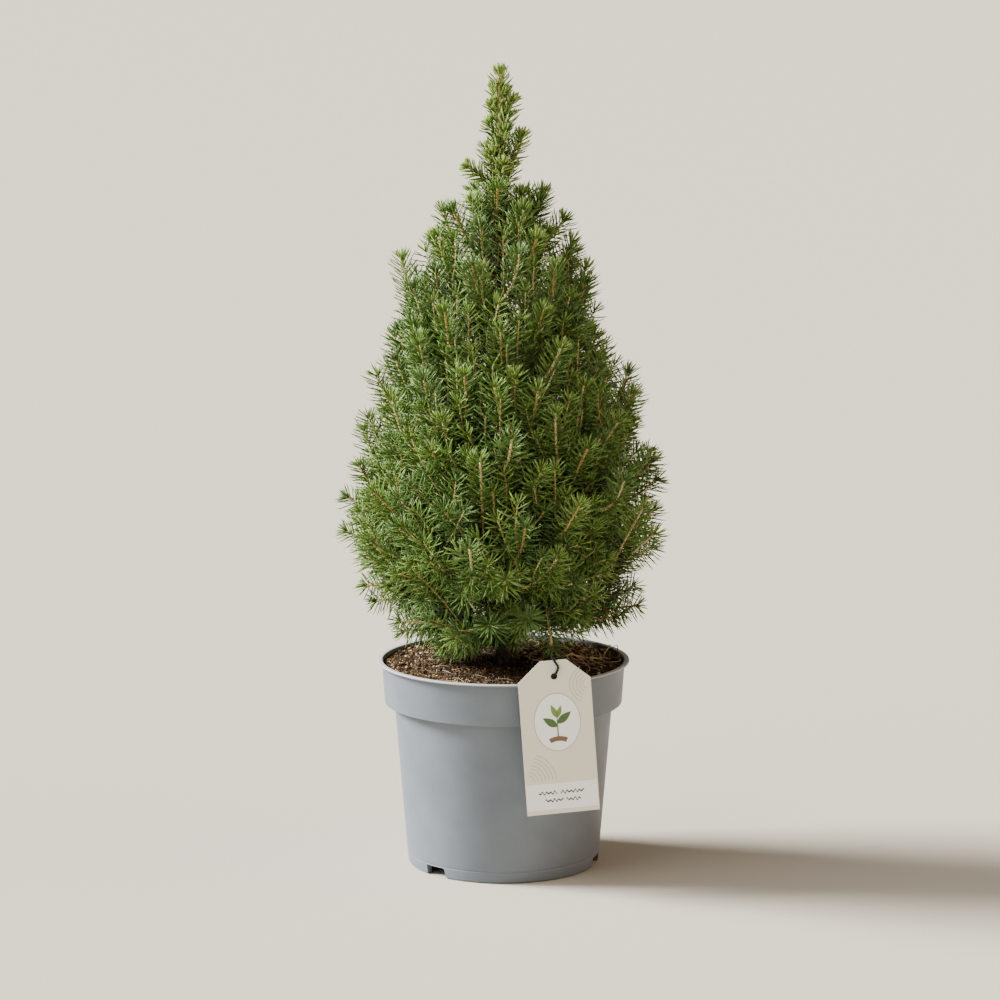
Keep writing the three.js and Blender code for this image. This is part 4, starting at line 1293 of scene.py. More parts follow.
def tube(path, radii, sides, slots):
    """Corners, triangles and slots of a closed tube along a path that tapers to a point."""
    points = np.array([tuple(p) for p in path])
    along = units(np.gradient(points, axis=0))
    across, other = side_ways(along)
    angles = np.arange(sides) * 2 * np.pi / sides
    level, rise = radii[:, None] * np.cos(angles), radii[:, None] * np.sin(angles)
    rings = (points[:, None] + level[:, :, None] * across[:, None]
             + rise[:, :, None] * other[:, None])
    tip_point = points[-1:] + along[-1:] * radii[-1]
    corners = np.concatenate([rings.reshape(-1, 3), points[:1], tip_point])
    triangles, dealt = [], []
    last = len(points) - 1
    foot, tip = len(points) * sides, len(points) * sides + 1
    for k in range(last):
        for n in range(sides):
            a, b = k * sides + n, k * sides + (n + 1) % sides
            triangles += [(a, b, b + sides), (a, b + sides, a + sides)]
            dealt += [slots[k]] * 2
    for n in range(sides):
        m = (n + 1) % sides
        triangles += [(m, n, foot), (last * sides + n, last * sides + m, tip)]
        dealt += [slots[0], slots[-1]]
    return corners, np.array(triangles), np.array(dealt)


def tube_piece(name, tubes, materials, slot, *nodes):
    """Joins tubes into one piece."""
    starts = np.cumsum([0] + [len(corners) for corners, triangles, slots in tubes[:-1]])
    mesh = array_mesh(name, np.concatenate([t[0] for t in tubes]) * MM,
                      np.concatenate([t[1] + start for t, start in zip(tubes, starts)]),
                      np.concatenate([t[2] for t in tubes]))
    return placed_piece(name, mesh, materials, slot, *nodes)


def twig_tube(path, foot_radius, tip_radius, sides, tone):
    """A twig whose wood grows lighter towards its tip."""
    count = len(path)
    left = path_length(path) * (1 - np.arange(count) / (count - 1))
    radii = np.linspace(foot_radius, tip_radius, count) * dealer.uniform(*TUBE_SPREAD, count)
    young = YOUNG if tone > 0.45 else GOLDEN
    slots = np.where(left < YOUNG_WOOD, young, np.where(left < GOLDEN_WOOD, GOLDEN, BROWN))
    # Wood deep in the crown takes the darkest brown: partly older bark, partly painted shade.
    inner = np.array([crown_share(p) < OLD_SHADED_WOOD_SHARE and p.z < BARE_BELOW for p in path])
    slots = np.where(inner & (left > OLD_SHADED_WOOD_LEFT), OLD_SHADED_WOOD, slots)
    return tube(path, radii, sides, slots)


def bud_tube(path):
    """A small pointed bud at the end of a path."""
    way = (path[-1] - path[-2]).normalized()
    points = [path[-1] + way * out for out in BUD_SHAPE[0]]
    return tube(points, BUD_RADIUS * np.array(BUD_SHAPE[1]), BUD_SIDES, [BUD] * len(points))


leader_heights = np.arange(LEADER_WOOD_FROM, LEADER_END, LEADER_STEP)
leader_path = [trunk_middle(height) for height in leader_heights]
stem_tubes, fine_tubes = [twig_tube(leader_path, *LEADER_TUBE, 1.0)], []
for i, mass in enumerate(masses):
    stem_tubes.append(twig_tube(mass.stem, *STEM_TUBE, 0.2))
    stem_tubes.append(bud_tube(mass.stem))
    for j, path in enumerate(mass.shoots):
        stem_tubes.append(twig_tube(path, *SHOOT_TUBE, chance(i, j, 81)))
        stem_tubes.append(bud_tube(path))
    for j, path in enumerate(mass.tufts):
        stem_tubes.append(twig_tube(path, *TUFT_TUBE, chance(i, j, 83)))
    for j, path in enumerate([path for layer in mass.twigs for path in layer]):
        fine_tubes.append(twig_tube(path, *TWIG_TUBE, chance(i, j, 82)))
wood_finishes = plain_finishes(WOODS, 0.75, 0.3)
shoots_piece = tube_piece("shoots", stem_tubes, wood_finishes, "bark")
twigs_piece = tube_piece("twigs", fine_tubes, wood_finishes, "bark")
print("twigs:", len(shoots_piece.data.polygons), "and", len(twigs_piece.data.polygons), "triangles")

# %% [markdown]
# ## Bark of the trunk and the boughs
#
# The trunk is slim and brown, with thin scales that lift along its length. A ring of edges is
# extruded along the limb and placed by the rule's radius, and its corners are then moved out and
# in by layered noise that is stretched along the limb.


# %% Limbs with the bark's relief
SCALE_HEIGHT = 0.55
FULL_RELIEF_RADIUS = 4
RIDGE_WAVES = (1.7, 0.05)
SCALE_WAVES = (3.6, 0.33)
GRAIN_WAVES = 1.4
SCALE_FLOOR = -0.15
RIDGE_SHARE = 0.5
SCALE_SHARE = 0.7
GRAIN_SHARE = 0.25


def frames_along(points):
    """Ways across a path that turn with it and never twist."""
    frames = []
    across = None
    for k in range(len(points)):
        along = (points[min(k + 1, len(points) - 1)] - points[max(k - 1, 0)]).normalized()
        if across is None:
            across = Vector((0, 0, 1)) if abs(along.z) < 0.9 else Vector((1, 0, 0))
        across = (across - along * across.dot(along)).normalized()
        frames.append((along, across, across.cross(along)))
    return frames


def limb_noise(turn, gone, seed, around, lengthwise):
    """Noise that wraps round a limb and is stretched along it."""
    return noise.noise(Vector((math.cos(turn) * around, math.sin(turn) * around,
                               gone * lengthwise + seed)))


def relief(place, turn, gone, radius, seed):
    """How far the bark stands out at a place: long ridges, thin scales and a fine grain."""
    ridge = limb_noise(turn, gone, seed, *RIDGE_WAVES)
    scales = max(limb_noise(turn, gone, seed, *SCALE_WAVES), SCALE_FLOOR)
    grain = noise.noise(place * GRAIN_WAVES)
    height = RIDGE_SHARE * ridge + SCALE_SHARE * scales + GRAIN_SHARE * grain
    return SCALE_HEIGHT * min(1.0, radius / FULL_RELIEF_RADIUS) * height


def add_limb(bm, points, radii, sides, seed):
    """Extrudes a ring along a limb and gives it its relief."""
    frames = frames_along(points)
    ring = bmesh.ops.create_circle(bm, cap_ends=False, segments=sides, radius=1.0)["verts"]
    edges = list({edge for vert in ring for edge in vert.link_edges})
    gone = 0.0
    for k, (point, radius) in enumerate(zip(points, radii)):
        if k:
            gone += (point - points[k - 1]).length
            made = bmesh.ops.extrude_edge_only(bm, edges=edges)["geom"]
            fresh = [item for item in made if isinstance(item, bmesh.types.BMVert)]
            following = {}
            for vert in fresh:
                partner = next(e.other_vert(vert) for e in vert.link_edges
                               if e.other_vert(vert) in ring)
                following[partner] = vert
            ring = [following[vert] for vert in ring]
            edges = [item for item in made if isinstance(item, bmesh.types.BMEdge)
                     and all(vert in fresh for vert in item.verts)]
        along, across, other = frames[k]
        for n, vert in enumerate(ring):
            turn = 2 * math.pi * n / sides
            way = across * math.cos(turn) + other * math.sin(turn)
            out = radius + relief(point + way * radius, turn, gone, radius, seed)
            vert.co = (point + way * out) * MM
    bmesh.ops.holes_fill(bm, edges=[e for e in bm.edges if e.is_boundary], sides=sides)


def fine_path(points, step):
    """A smooth path with even short steps through the given points."""
    out = []
    for k in range(len(points) - 1):
        before, here = points[max(k - 1, 0)], points[k]
        there, after = points[k + 1], points[min(k + 2, len(points) - 1)]
        parts = max(1, round((there - here).length / step))
        for n in range(parts):
            t = n / parts
            out.append(0.5 * (2 * here + (there - before) * t
                              + (2 * before - 5 * here + 4 * there - after) * t * t
                              + (3 * here - before - 3 * there + after) * t ** 3))
    return out + [points[-1]]


print("relief:", SCALE_HEIGHT, "mm high at most")

# %% The bark of the trunk and the boughs
BARK_SIDES = 36
BARK_STEP = 1.6
BOUGH_SIDES = 14
TRUNK_OVERLAP = 1.5
BOUGH_OVERLAPS = (2, 1)
TRUNK_SEED = 3.0
BOUGH_SEEDS = (7.0, 3)
BARK_STEPS = [
    (0.32, (38, 31, 25)), (0.46, (60, 49, 39)), (0.58, (82, 68, 54)), (0.72, (120, 102, 82))]

# Brown bark whose hollows are darker and whose thin scales are tan
bark_material = speckled_finish(
    plain_finish("scaly_bark", (76, 62, 50), 0.85, 0.2), (1.0, 1.0, 0.35), BARK_STEPS,
    (0.7, 0.5 * MM), Scale=420.0, Detail=7.0, Roughness=0.62)


def bark_piece(name, limbs, sides, *nodes):
    """The bark of some limbs. Each is a path, its radii and the seed of its relief."""
    bm = bmesh.new()
    for points, radii, seed in limbs:
        add_limb(bm, points, radii, sides, seed)
    piece = finished_piece(name, bm, [bark_material], "bark", *nodes)
    piece.data.shade_smooth()
    return piece


trunk_heights = np.arange(TRUNK_FOOT - TRUNK_OVERLAP, TRUNK_TOP + STEM_STEP, BARK_STEP)
trunk_points = [trunk_middle(max(height, TRUNK_FOOT)) for height in trunk_heights]
for point, height in zip(trunk_points, trunk_heights):
    point.z = height
trunk_radii = [trunk_radius(max(height, TRUNK_FOOT)) for height in trunk_heights]
trunk_limb = (trunk_points, trunk_radii, TRUNK_SEED)
trunk_piece = bark_piece("trunk_bark", [trunk_limb], BARK_SIDES, "trunk")

bough_limbs = []
for i, bough in enumerate(boughs):
    inside = bough[0] + (bough[0] - bough[1]).normalized() * BOUGH_OVERLAPS[0]
    onward = bough[-1] + (bough[-1] - bough[-2]).normalized() * BOUGH_OVERLAPS[1]
    points = fine_path([inside] + bough + [onward], BARK_STEP)
    seed = BOUGH_SEEDS[0] + BOUGH_SEEDS[1] * i
    bough_limbs.append((points, np.linspace(*BOUGH_RADII, len(points)), seed))
bough_names = [f"bough_{i + 1:02d}" for i in range(BOUGH_COUNT)]
bough_piece = bark_piece("bough_bark", bough_limbs, BOUGH_SIDES, *bough_names)
print("bark:", len(trunk_piece.data.polygons), "and", len(bough_piece.data.polygons), "faces")

# %% [markdown]
# ## The potting mix
#
# Peaty mix is a heap of crumbs of one to three millimetres with dark gaps between them, some chips
# of bark, and curly coir fibres that lie on top. Near the trunk, under the crown, it is darker: a
# painted shade. A bed with its own bumps closes the surface. The crumbs and chips are copies of one
# small shape, each with a turn, a size and a brown of its own, and the fibres are thin tubes. All
# of them sit on the bed at its real height.


# %% The bed of the potting mix
MIX_EDGE = 138.0
MIX_RADIUS = 81.5
BED_DEPTH = 12.0
BED_RINGS = 40
BED_STEPS = 96
BED_INSET = 1.2
BED_SUNK = 1.2
MIX_RISE = 2.2
BROAD_WAVES = (1.5, 0.035, 4.2)
LUMP_WAVES = (0.9, 0.16, 1.3)
EDGE_CALM = 0.6
PEAT_STEPS = [(0.35, (26, 19, 14)), (0.5, (48, 35, 25)), (0.68, (96, 72, 50))]


def mix_waves(x, y, height, scale, level):
    """Noise of some height over the mix."""
    return height * noise.noise(Vector((x * scale, y * scale, level)))


def mix_height(x, y):
    """Height of the bed at a place: it rises to the trunk and is uneven all over."""
    out = math.hypot(x, y) / MIX_RADIUS
    rise = (MIX_TOP + MIX_RISE - MIX_EDGE) * (1 - out ** 2)
    waves = mix_waves(x, y, *BROAD_WAVES) + mix_waves(x, y, *LUMP_WAVES)
    return MIX_EDGE + rise + waves * (1 - EDGE_CALM * out ** 6) - BED_SUNK


def mix_bed():
    """The bed: a level outline that is spun, closed below and raised to the mix's height."""
    outline = [Vector((MIX_RADIUS * k / BED_RINGS, MIX_EDGE)) * MM for k in range(BED_RINGS + 1)]
    outline += [Vector((MIX_RADIUS - BED_INSET, MIX_EDGE - BED_DEPTH)) * MM,
                Vector((0, MIX_EDGE - BED_DEPTH)) * MM]
    bm = spun(outline, BED_STEPS)
    for vert in bm.verts:
        if vert.co.z > (MIX_EDGE - 1) * MM:
            vert.co.z = mix_height(vert.co.x / MM, vert.co.y / MM) * MM
    return bm


# Dark moist peat with lighter specks
peat = speckled_finish(plain_finish("peat_bed", (58, 42, 30), 0.95, 0.2), (1.0, 1.0, 1.0),
                       PEAT_STEPS, (0.9, 1.0 * MM), Scale=520.0, Detail=6.0, Roughness=0.7)
bed = finished_piece("mix_bed", mix_bed(), [peat], "potting_mix", "potting_mix")
bed.data.shade_smooth()
print("bed:", len(bed.data.polygons), "faces")

# %% Crumbs, chips and grains
BROWNS = {"dark_crumb": (58, 44, 32), "brown_crumb": (84, 65, 43), "tan_crumb": (126, 102, 70),
          "light_crumb": (190, 164, 124), "red_crumb": (112, 82, 58), "pale_grain": (222, 208, 176)}
DARK, BROWN_CRUMB, TAN, LIGHT, RED, PALE_GRAIN = range(len(BROWNS))
CRUMBS = [
    # how many, sizes, how flat, share of each brown, how far they sink in, and whether fine
    (11000, (0.36, 0.86), 1.0, {DARK: 0.26, BROWN_CRUMB: 0.32, TAN: 0.24, LIGHT: 0.1, RED: 0.08},
     0.2, True),
    (1200, (0.8, 1.4), 1.0, {DARK: 0.3, BROWN_CRUMB: 0.34, TAN: 0.2, LIGHT: 0.06, RED: 0.1},
     0.3, False),
    (90, (1.8, 3.4), 0.35, {DARK: 0.35, BROWN_CRUMB: 0.35, RED: 0.3}, 0.1, False),
    (26, (0.7, 1.2), 1.0, {PALE_GRAIN: 1.0}, 0.0, False),
]
LEAST_CRUMB = 0.8
CRUMB_LUMPS = 0.45
LUMP_SCALE = 2.3
STRETCHES = (0.7, 1.3)
LYING_FLAT = 0.6
HIGHEST_SEAT = 0.75
INNERMOST = 0.004
# Middle and reach of the painted shade under the crown, where crumbs take the darkest brown.
PAINTED_SHADE_MIDDLE = 14
PAINTED_SHADE_REACH = 100.0


def crumb_shape(fine):
    """A rough ball of twenty faces, or of eight for the finest crumbs."""
    bm = bmesh.new()
    if fine:
        bmesh.ops.create_uvsphere(bm, u_segments=4, v_segments=2, radius=1.0)
    else:
        bmesh.ops.create_icosphere(bm, subdivisions=1, radius=1.0)
    bmesh.ops.recalc_face_normals(bm, faces=bm.faces[:])
    for vert in bm.verts:
        vert.co *= LEAST_CRUMB + CRUMB_LUMPS * abs(noise.noise(vert.co * LUMP_SCALE))
    return arrays_of(bm)


def random_turns(count):
    """Random turns as matrices."""
    rows = dealer.normal(size=(count, 4))
    w, x, y, z = (rows / np.linalg.norm(rows, axis=1, keepdims=True)).T
    return np.array([
        [1 - 2 * (y * y + z * z), 2 * (x * y - z * w), 2 * (x * z + y * w)],
        [2 * (x * y + z * w), 1 - 2 * (x * x + z * z), 2 * (y * z - x * w)],
        [2 * (x * z - y * w), 2 * (y * z + x * w), 1 - 2 * (x * x + y * y)],
    ]).transpose(2, 0, 1)


def places_on_mix(count, most_out):
    """Places on the bed, even over its area and clear of the trunk."""
    out = np.sqrt(dealer.uniform(INNERMOST, 1, count)) * MIX_RADIUS * most_out
    turn = dealer.uniform(0, 2 * np.pi, count)
    x, y = out * np.cos(turn), out * np.sin(turn)
    z = np.array([mix_height(a, b) for a, b in zip(x, y)])
    return np.column_stack([x, y, z])


def scattered(count, sizes, flat, browns, sunk, fine):
    """Crumbs as corners, triangles and slots: each has a turn, a size and a brown, which is the
    darkest one for most of those near the trunk, a painted shade under the crown."""
    corners, triangles = crumb_shape(fine)
    size = dealer.uniform(*sizes, count)
    stretch = dealer.uniform(*STRETCHES, (count, 3)) * np.array([1.0, 1.0, flat])
    turned = np.einsum("nij,nkj->nki", random_turns(count), corners[None] * stretch[:, None])
    if flat < LYING_FLAT:
        turned[:, :, 2] *= LYING_FLAT
    places = places_on_mix(count, 1 - (sizes[1] + GAP) / MIX_RADIUS)
    places[:, 2] += size * dealer.uniform(-sunk, HIGHEST_SEAT, count)
    all_corners = places[:, None] + turned * size[:, None, None]
    faces = triangles[None] + (len(corners) * np.arange(count))[:, None, None]
    slots = dealer.choice(list(browns), count, p=list(browns.values()))
    # Most crumbs near the trunk take the darkest brown: painted shade under the crown.
    from_painted_shade = np.hypot(places[:, 0] - PAINTED_SHADE_MIDDLE, places[:, 1])
    slots[(dealer.uniform(0, PAINTED_SHADE_REACH, count) > from_painted_shade) & (slots != PALE_GRAIN)] = DARK
    return all_corners.reshape(-1, 3), faces.reshape(-1, 3), np.repeat(slots, len(triangles))


crumbs = tube_piece("mix_crumbs", [scattered(*row) for row in CRUMBS],
                    plain_finishes(BROWNS, 0.92, 0.2), "potting_mix")
print("crumbs:", len(crumbs.data.polygons), "triangles")

# %% The fibres
FIBRES = {"tan_fibre": (202, 182, 150), "brown_fibre": (126, 106, 82), "dark_fibre": (58, 46, 36)}
FIBRE_COUNT = 260
FIBRE_MOST_OUT = 0.86
FIBRE_CURL = 0.28
FIBRE_PARTS = (4, 9)
FIBRE_LIFTS = (0.2, 1.4)
FIBRE_RADII = (0.14, 0.28)
FIBRE_STEP = 2.1
FIBRE_SEAT = 0.5
HEIGHT_JITTER = 0.15
TURN_JITTER = 0.2
RIM_ROOM = 2
COIR_COUNT = 120
COIR_MIDDLE = (46.0, 14.0)
COIR_SPREAD = (15, 17, 0)
COIR_CURLS = (0.1, 0.3)
COIR_PARTS = (9, 19)
COIR_LIFTS = (1.0, 10.0)
COIR_RADII = (0.28, 0.52)


def fibre_path(coir):
    """A fine fibre that lies on the mix, or a long curly one of the tuft of coir on its right."""
    place = places_on_mix(1, FIBRE_MOST_OUT)[0]
    if coir:
        place = np.array([*COIR_MIDDLE, 0.0]) + dealer.normal(size=3) * COIR_SPREAD
    turn = dealer.uniform(0, 2 * math.pi)
    if coir:
        curl = dealer.choice([-1, 1]) * dealer.uniform(*COIR_CURLS)
        steps = int(dealer.integers(*COIR_PARTS))
        lift = lerp(*COIR_LIFTS, dealer.uniform(0, 1) ** 3)
    else:
        curl = dealer.uniform(-FIBRE_CURL, FIBRE_CURL)
        steps = int(dealer.integers(*FIBRE_PARTS))
        lift = dealer.uniform(*FIBRE_LIFTS)
    points = []
    for k in range(steps + 1):
        rise = lift * math.sin(math.pi * k / steps)
        rise = rise + dealer.uniform(-HEIGHT_JITTER, HEIGHT_JITTER) + FIBRE_SEAT
        reach = math.hypot(place[0], place[1])
        if reach > MIX_RADIUS - RIM_ROOM:
            place[:2] *= (MIX_RADIUS - RIM_ROOM) / reach
        points.append(Vector((place[0], place[1], mix_height(place[0], place[1]) + rise)))
        turn += curl + dealer.uniform(-TURN_JITTER, TURN_JITTER)
        place[0] += FIBRE_STEP * math.cos(turn)
        place[1] += FIBRE_STEP * math.sin(turn)
    return points


fibre_tubes = []
for coir in [False] * FIBRE_COUNT + [True] * COIR_COUNT:
    path = fibre_path(coir)
    radii = np.linspace(1, 0.5, len(path)) * dealer.uniform(*(COIR_RADII if coir else FIBRE_RADII))
    dealt = int(dealer.integers(0, len(FIBRES)))
    fibre_tubes.append(tube(path, radii, 3, [dealt] * len(path)))
fibres = tube_piece("mix_fibres", fibre_tubes, plain_finishes(FIBRES, 0.85, 0.25), "potting_mix")
print("fibres:", len(fibres.data.polygons), "triangles")

# %% [markdown]
# ## The hang tag
#
# The tag is stiff card with its top corners cut off and a punched hole. Its print is a plain
# design made for this lesson: a white panel with a seedling, some fine arcs, and wavy strokes on
# a white band across the foot. Each printed patch is a sheet of its own, a twentieth of a
# millimetre proud of the card, so it stays crisp from close by and its colour is a plain one.


# %% The tag's place and its card
TAG_WIDTH = 48.0
TAG_LENGTH = 103.0
TAG_THICKNESS = 0.7
TAG_SHOULDER = 15.4
TAG_SHOULDER_DROP = 13.5
TAG_HOLE_RADIUS = 2.2
TAG_HOLE_BELOW_TOP = 10.8
TAG_MIDDLE = (36.0, 105.3)
TAG_TILT = math.radians(4.2)
TAG_TURN = math.radians(6.0)
PRINT_RISE = 0.05


def tag_point(right, up, depth):
    """A place on the tag: right and up from its middle, and depth behind its front."""
    across = Vector((math.cos(TAG_TURN), math.sin(TAG_TURN), 0))
    back = Vector((-math.sin(TAG_TURN), math.cos(TAG_TURN), 0))
    seat_y = -(LIP_RADIUS / MM) - GAP - TAG_THICKNESS
    middle = Vector((TAG_MIDDLE[0], seat_y + TAG_MIDDLE[0] * math.tan(TAG_TURN) / 2, TAG_MIDDLE[1]))
    r = right * math.cos(TAG_TILT) - up * math.sin(TAG_TILT)
    u = right * math.sin(TAG_TILT) + up * math.cos(TAG_TILT)
    return middle + across * r + Vector((0, 0, u)) + back * depth


def oval(middle, radius_x, radius_y, turns):
    """Points of an oval on the tag at some turns."""
    return [(middle[0] + radius_x * math.cos(t), middle[1] + radius_y * math.sin(t)) for t in turns]


def ring_of(radius_x, radius_y, middle, steps):
    """Points all round an oval on the tag."""
    return oval(middle, radius_x, radius_y, [2 * math.pi * k / steps for k in range(steps)])


def card_outline():
    w, h = TAG_WIDTH / 2, TAG_LENGTH / 2
    return [(-w, -h), (w, -h), (w, h - TAG_SHOULDER_DROP), (w - TAG_SHOULDER, h),
            (-w + TAG_SHOULDER, h), (-w, h - TAG_SHOULDER_DROP)]


def flat_sheet(outlines, thickness):
    """A sheet that fills the space between closed outlines, with its thickness in z."""
    bm = bmesh.new()
    edges = []
    for outline in outlines:
        verts = [bm.verts.new((x, y, 0)) for x, y in outline]
        edges += [bm.edges.new((verts[k - 1], verts[k])) for k in range(len(verts))]
    bmesh.ops.triangle_fill(bm, edges=edges, use_beauty=True, normal=(0, 0, 1))
    made = bmesh.ops.extrude_face_region(bm, geom=bm.faces[:])["geom"]
    lifted = [item for item in made if isinstance(item, bmesh.types.BMVert)]
    bmesh.ops.translate(bm, verts=lifted, vec=(0, 0, thickness))
    bmesh.ops.recalc_face_normals(bm, faces=bm.faces[:])
    return bm


def onto_tag(bm, front):
    """Moves a flat piece, drawn in x and y with its height in z, to the tag's place."""
    for vert in bm.verts:
        vert.co = tag_point(vert.co.x, vert.co.y, front - vert.co.z) * MM


def card_finish():
    """Matt coated card with a faint paper grain."""
    material = plain_finish("beige_card", (228, 226, 211), 0.55, 0.35)
    grain = noise_pattern(material, object_places(material), Scale=1500.0, Detail=3.0)
    add_bump(material, grain, 0.08, 0.1 * MM)
    return material


tag_hole = ring_of(TAG_HOLE_RADIUS, TAG_HOLE_RADIUS, (0, TAG_LENGTH / 2 - TAG_HOLE_BELOW_TOP), 32)
card_bm = flat_sheet([card_outline(), tag_hole], TAG_THICKNESS)
onto_tag(card_bm, TAG_THICKNESS)
card = finished_piece("tag_card", card_bm, [card_finish()], "tag", "tag")
print("tag:", len(card.data.polygons), "faces")

# %% The tag's print
PANEL_HALF = (15.0, 19.0)
PANEL_MIDDLE = (0.0, 10.0)
PANEL_RIM = 0.5
BAND_FOOT = 3.0
BAND_TOP = 20.5
EDGE_INSET = 0.5
OVAL_STEPS = 64

# Fine arcs: middle, first radius and its step, first turn and its step, last turn and its step,
# and how many. Turns are in degrees
ARCS = [((TAG_WIDTH / 2 - 1.5, 34), 4, 2.2, 118, -1, 240, 1, 5),
        ((-TAG_WIDTH / 2 + 1.5, -29), 5, 2.4, 3, 0, 80, -2, 7)]

# The seedling, measured from the panel's middle: its stalk, and the colour, layer, foot, tip and
# width of each leaf
STALK = [(-0.5, -10), (0.5, -10), (0.3, 4), (-0.3, 4)]
LEAVES = [("leaf_print", 4, (0, -3), (-9.5, 3.5), 2.5), ("leaf_print", 4, (0, -1), (9.5, 6.5), 2.5),
          ("young_print", 5, (0, 3), (-3.6, 12), 1.8), ("young_print", 5, (0, 3), (3.2, 11), 1.6)]

# Wavy strokes: first and last place across, and height
WAVY_ROWS = [(-15.5, -3.5, -37.2), (-1.0, 14.5, -37.2), (-11.5, 0.5, -42.4), (2.5, 12.0, -42.4)]
WAVY_HALF = 0.55
WAVY_HEIGHT = 1.1
WAVY_POINTS = 6
PRINTS = {"white_print": (250, 252, 254), "grey_print": (62, 64, 72), "beige_line": (180, 168, 146),
          "brown_print": (120, 92, 70), "stalk_print": (98, 116, 66), "leaf_print": (74, 104, 52),
          "young_print": (118, 144, 74)}


def band(low, high):
    """Corners of a band across the tag, from one height above its foot to another."""
    w, h = TAG_WIDTH / 2 - EDGE_INSET, TAG_LENGTH / 2
    return [(-w, low - h), (w, low - h), (w, high - h), (-w, high - h)]


def leaf(foot, tip, width, steps=10):
    """A pointed leaf of the seedling, from its foot to its tip."""
    foot, tip = (Vector(place) + Vector(PANEL_MIDDLE) for place in (foot, tip))
    side = Vector((-(tip - foot).y, (tip - foot).x)).normalized() * width
    there = [(k / steps, 1) for k in range(steps + 1)]
    back = [(k / steps, -1) for k in range(steps - 1, 0, -1)]
    return [tuple(foot.lerp(tip, share) + side * sign * math.sin(math.pi * share ** 0.8))
            for share, sign in there + back]


def arc_line(middle, radius, first, last, width=0.35, steps=24):
    """A thin arc as a closed outline. Turns are in degrees."""
    turns = [math.radians(lerp(first, last, k / steps)) for k in range(steps + 1)]
    return oval(middle, radius, radius, turns) + oval(middle, radius - width, radius - width,
                                                      turns[::-1])


def wavy_line(x0, x1, y):
    """The outline of a bold wavy stroke, a plain stand-in for a written word."""
    across = np.linspace(x0, x1, int((x1 - x0) * WAVY_POINTS))
    swell = 0.65 + 0.35 * np.sin(across * 0.9)
    middle = y + WAVY_HEIGHT * np.sin(across * 2.3 + y) * swell
    upper = list(zip(across, middle + WAVY_HALF))
    return upper + list(zip(across, middle - WAVY_HALF))[::-1]


def print_patches():
    """Each patch of the print: its colour, its layer and its outline."""
    px, py = PANEL_MIDDLE
    rim = [half + PANEL_RIM for half in PANEL_HALF]
    return [
        ("white_print", 1, band(BAND_FOOT, BAND_TOP)),
        *[("grey_print", 2, wavy_line(*row)) for row in WAVY_ROWS],
        *[("beige_line", 1, arc_line(middle, radius + wider * k, first + more * k, last + less * k))
          for middle, radius, wider, first, more, last, less, count in ARCS for k in range(count)],
        ("beige_line", 1, ring_of(*rim, PANEL_MIDDLE, OVAL_STEPS)),
        ("white_print", 2, ring_of(*PANEL_HALF, PANEL_MIDDLE, OVAL_STEPS)),
        ("brown_print", 3, arc_line((px, py - 24), 14.5, 64, 116, 3.2)),
        ("stalk_print", 3, [(px + x, py + y) for x, y in STALK]),
        *[(name, layer, leaf(*shape)) for name, layer, *shape in LEAVES],
    ]


print_slots = {name: n for n, name in enumerate(PRINTS)}
print_bm = bmesh.new()
for name, layer, outline in print_patches():
    patch = flat_sheet([outline], PRINT_RISE * layer)
    for face in patch.faces:
        face.material_index = print_slots[name]
    held_mesh = mesh_of("patch", patch)
    print_bm.from_mesh(held_mesh)
    bpy.data.meshes.remove(held_mesh)
onto_tag(print_bm, 0.0)
tag_print = finished_piece("tag_print", print_bm, plain_finishes(PRINTS, 0.5, 0.35), "tag")
print("print:", len(tag_print.data.polygons), "faces")

# %% [markdown]
# ## The string
#
# The string is a black two-ply twine that comes from the trunk's foot, goes over the tag's top
# edge, through its hole and back. Its route has the same points as the CAD solid. The two plies
# are tubes that wind round that route, which gives the twine its twist in the mesh itself.


# %% The string
STRING_RADIUS = 0.7
PLY_RADIUS = 0.52
PLY_OFFSET = 0.4
PLY_TURN_LENGTH = 3.4
PLY_STEP = 0.45
PLY_SIDES = 6


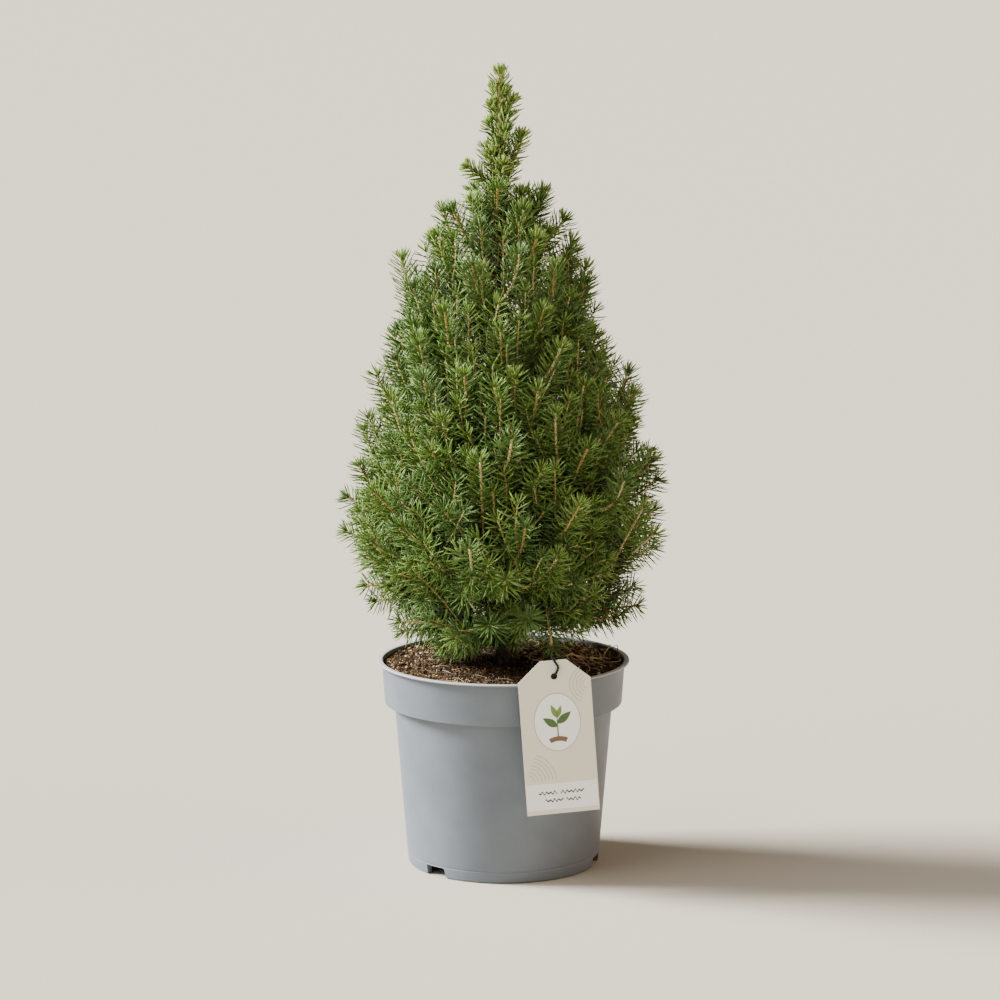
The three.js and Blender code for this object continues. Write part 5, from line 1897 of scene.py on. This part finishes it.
def string_route():
    """The string's points, from the trunk's foot to the tag and back."""
    clear = STRING_RADIUS + GAP
    top = TAG_LENGTH / 2
    hole = top - TAG_HOLE_BELOW_TOP
    front, behind = -clear, TAG_THICKNESS + clear
    over_rim = POT_HEIGHT / MM + clear + 2
    foot = trunk_middle(TRUNK_FOOT + 4)
    reach = trunk_radius(TRUNK_FOOT + 4) + clear
    return [
        foot + Vector((reach * 0.5, -reach * 0.87, 0.6)),
        Vector((14, -32, MIX_TOP + 5.5)),
        Vector((23, -58, MIX_TOP + 10)),
        tag_point(-1, top - 2, 8),
        tag_point(-0.5, top + 0.6, behind + 1.2),
        tag_point(0, top + clear + 0.2, TAG_THICKNESS / 2),
        tag_point(1.4, top - 1.4, front - 0.3),
        tag_point(3.0, (top + hole) / 2 + 0.6, front - 0.3),
        tag_point(1.5, hole + 2.4, front),
        tag_point(0, hole + 0.3, front + 0.5),
        tag_point(0, hole, TAG_THICKNESS / 2),
        tag_point(0, hole - 0.1, behind - 0.3),
        tag_point(0.6, hole + 0.6, behind + 1.4),
        tag_point(1, hole, 8),
        Vector((27, -56, over_rim + 0.5)),
        Vector((19, -31, MIX_TOP + 2.2)),
        foot + Vector((reach * 0.87, -reach * 0.5, -1.6)),
    ]


def ply(points, half_turn):
    """A path that winds round the route at a small distance."""
    frames = frames_along(points)
    out = []
    gone = 0.0
    for k, (point, (along, across, other)) in enumerate(zip(points, frames)):
        if k:
            gone += (point - points[k - 1]).length
        turn = 2 * math.pi * gone / PLY_TURN_LENGTH + half_turn
        out.append(point + (across * math.cos(turn) + other * math.sin(turn)) * PLY_OFFSET)
    return out


string_path = fine_path(string_route(), PLY_STEP)
plies = [ply(string_path, 0), ply(string_path, math.pi)]
ply_tubes = [tube(path, np.full(len(path), PLY_RADIUS), PLY_SIDES, [0] * len(path))
             for path in plies]
twine = plain_finish("black_twine", (30, 29, 30), 0.8, 0.3)
string = tube_piece("tag_string_twine", ply_tubes, [twine], "string", "tag_string")
string.data.shade_smooth()
print("string:", round(path_length(string_path)), "mm long")
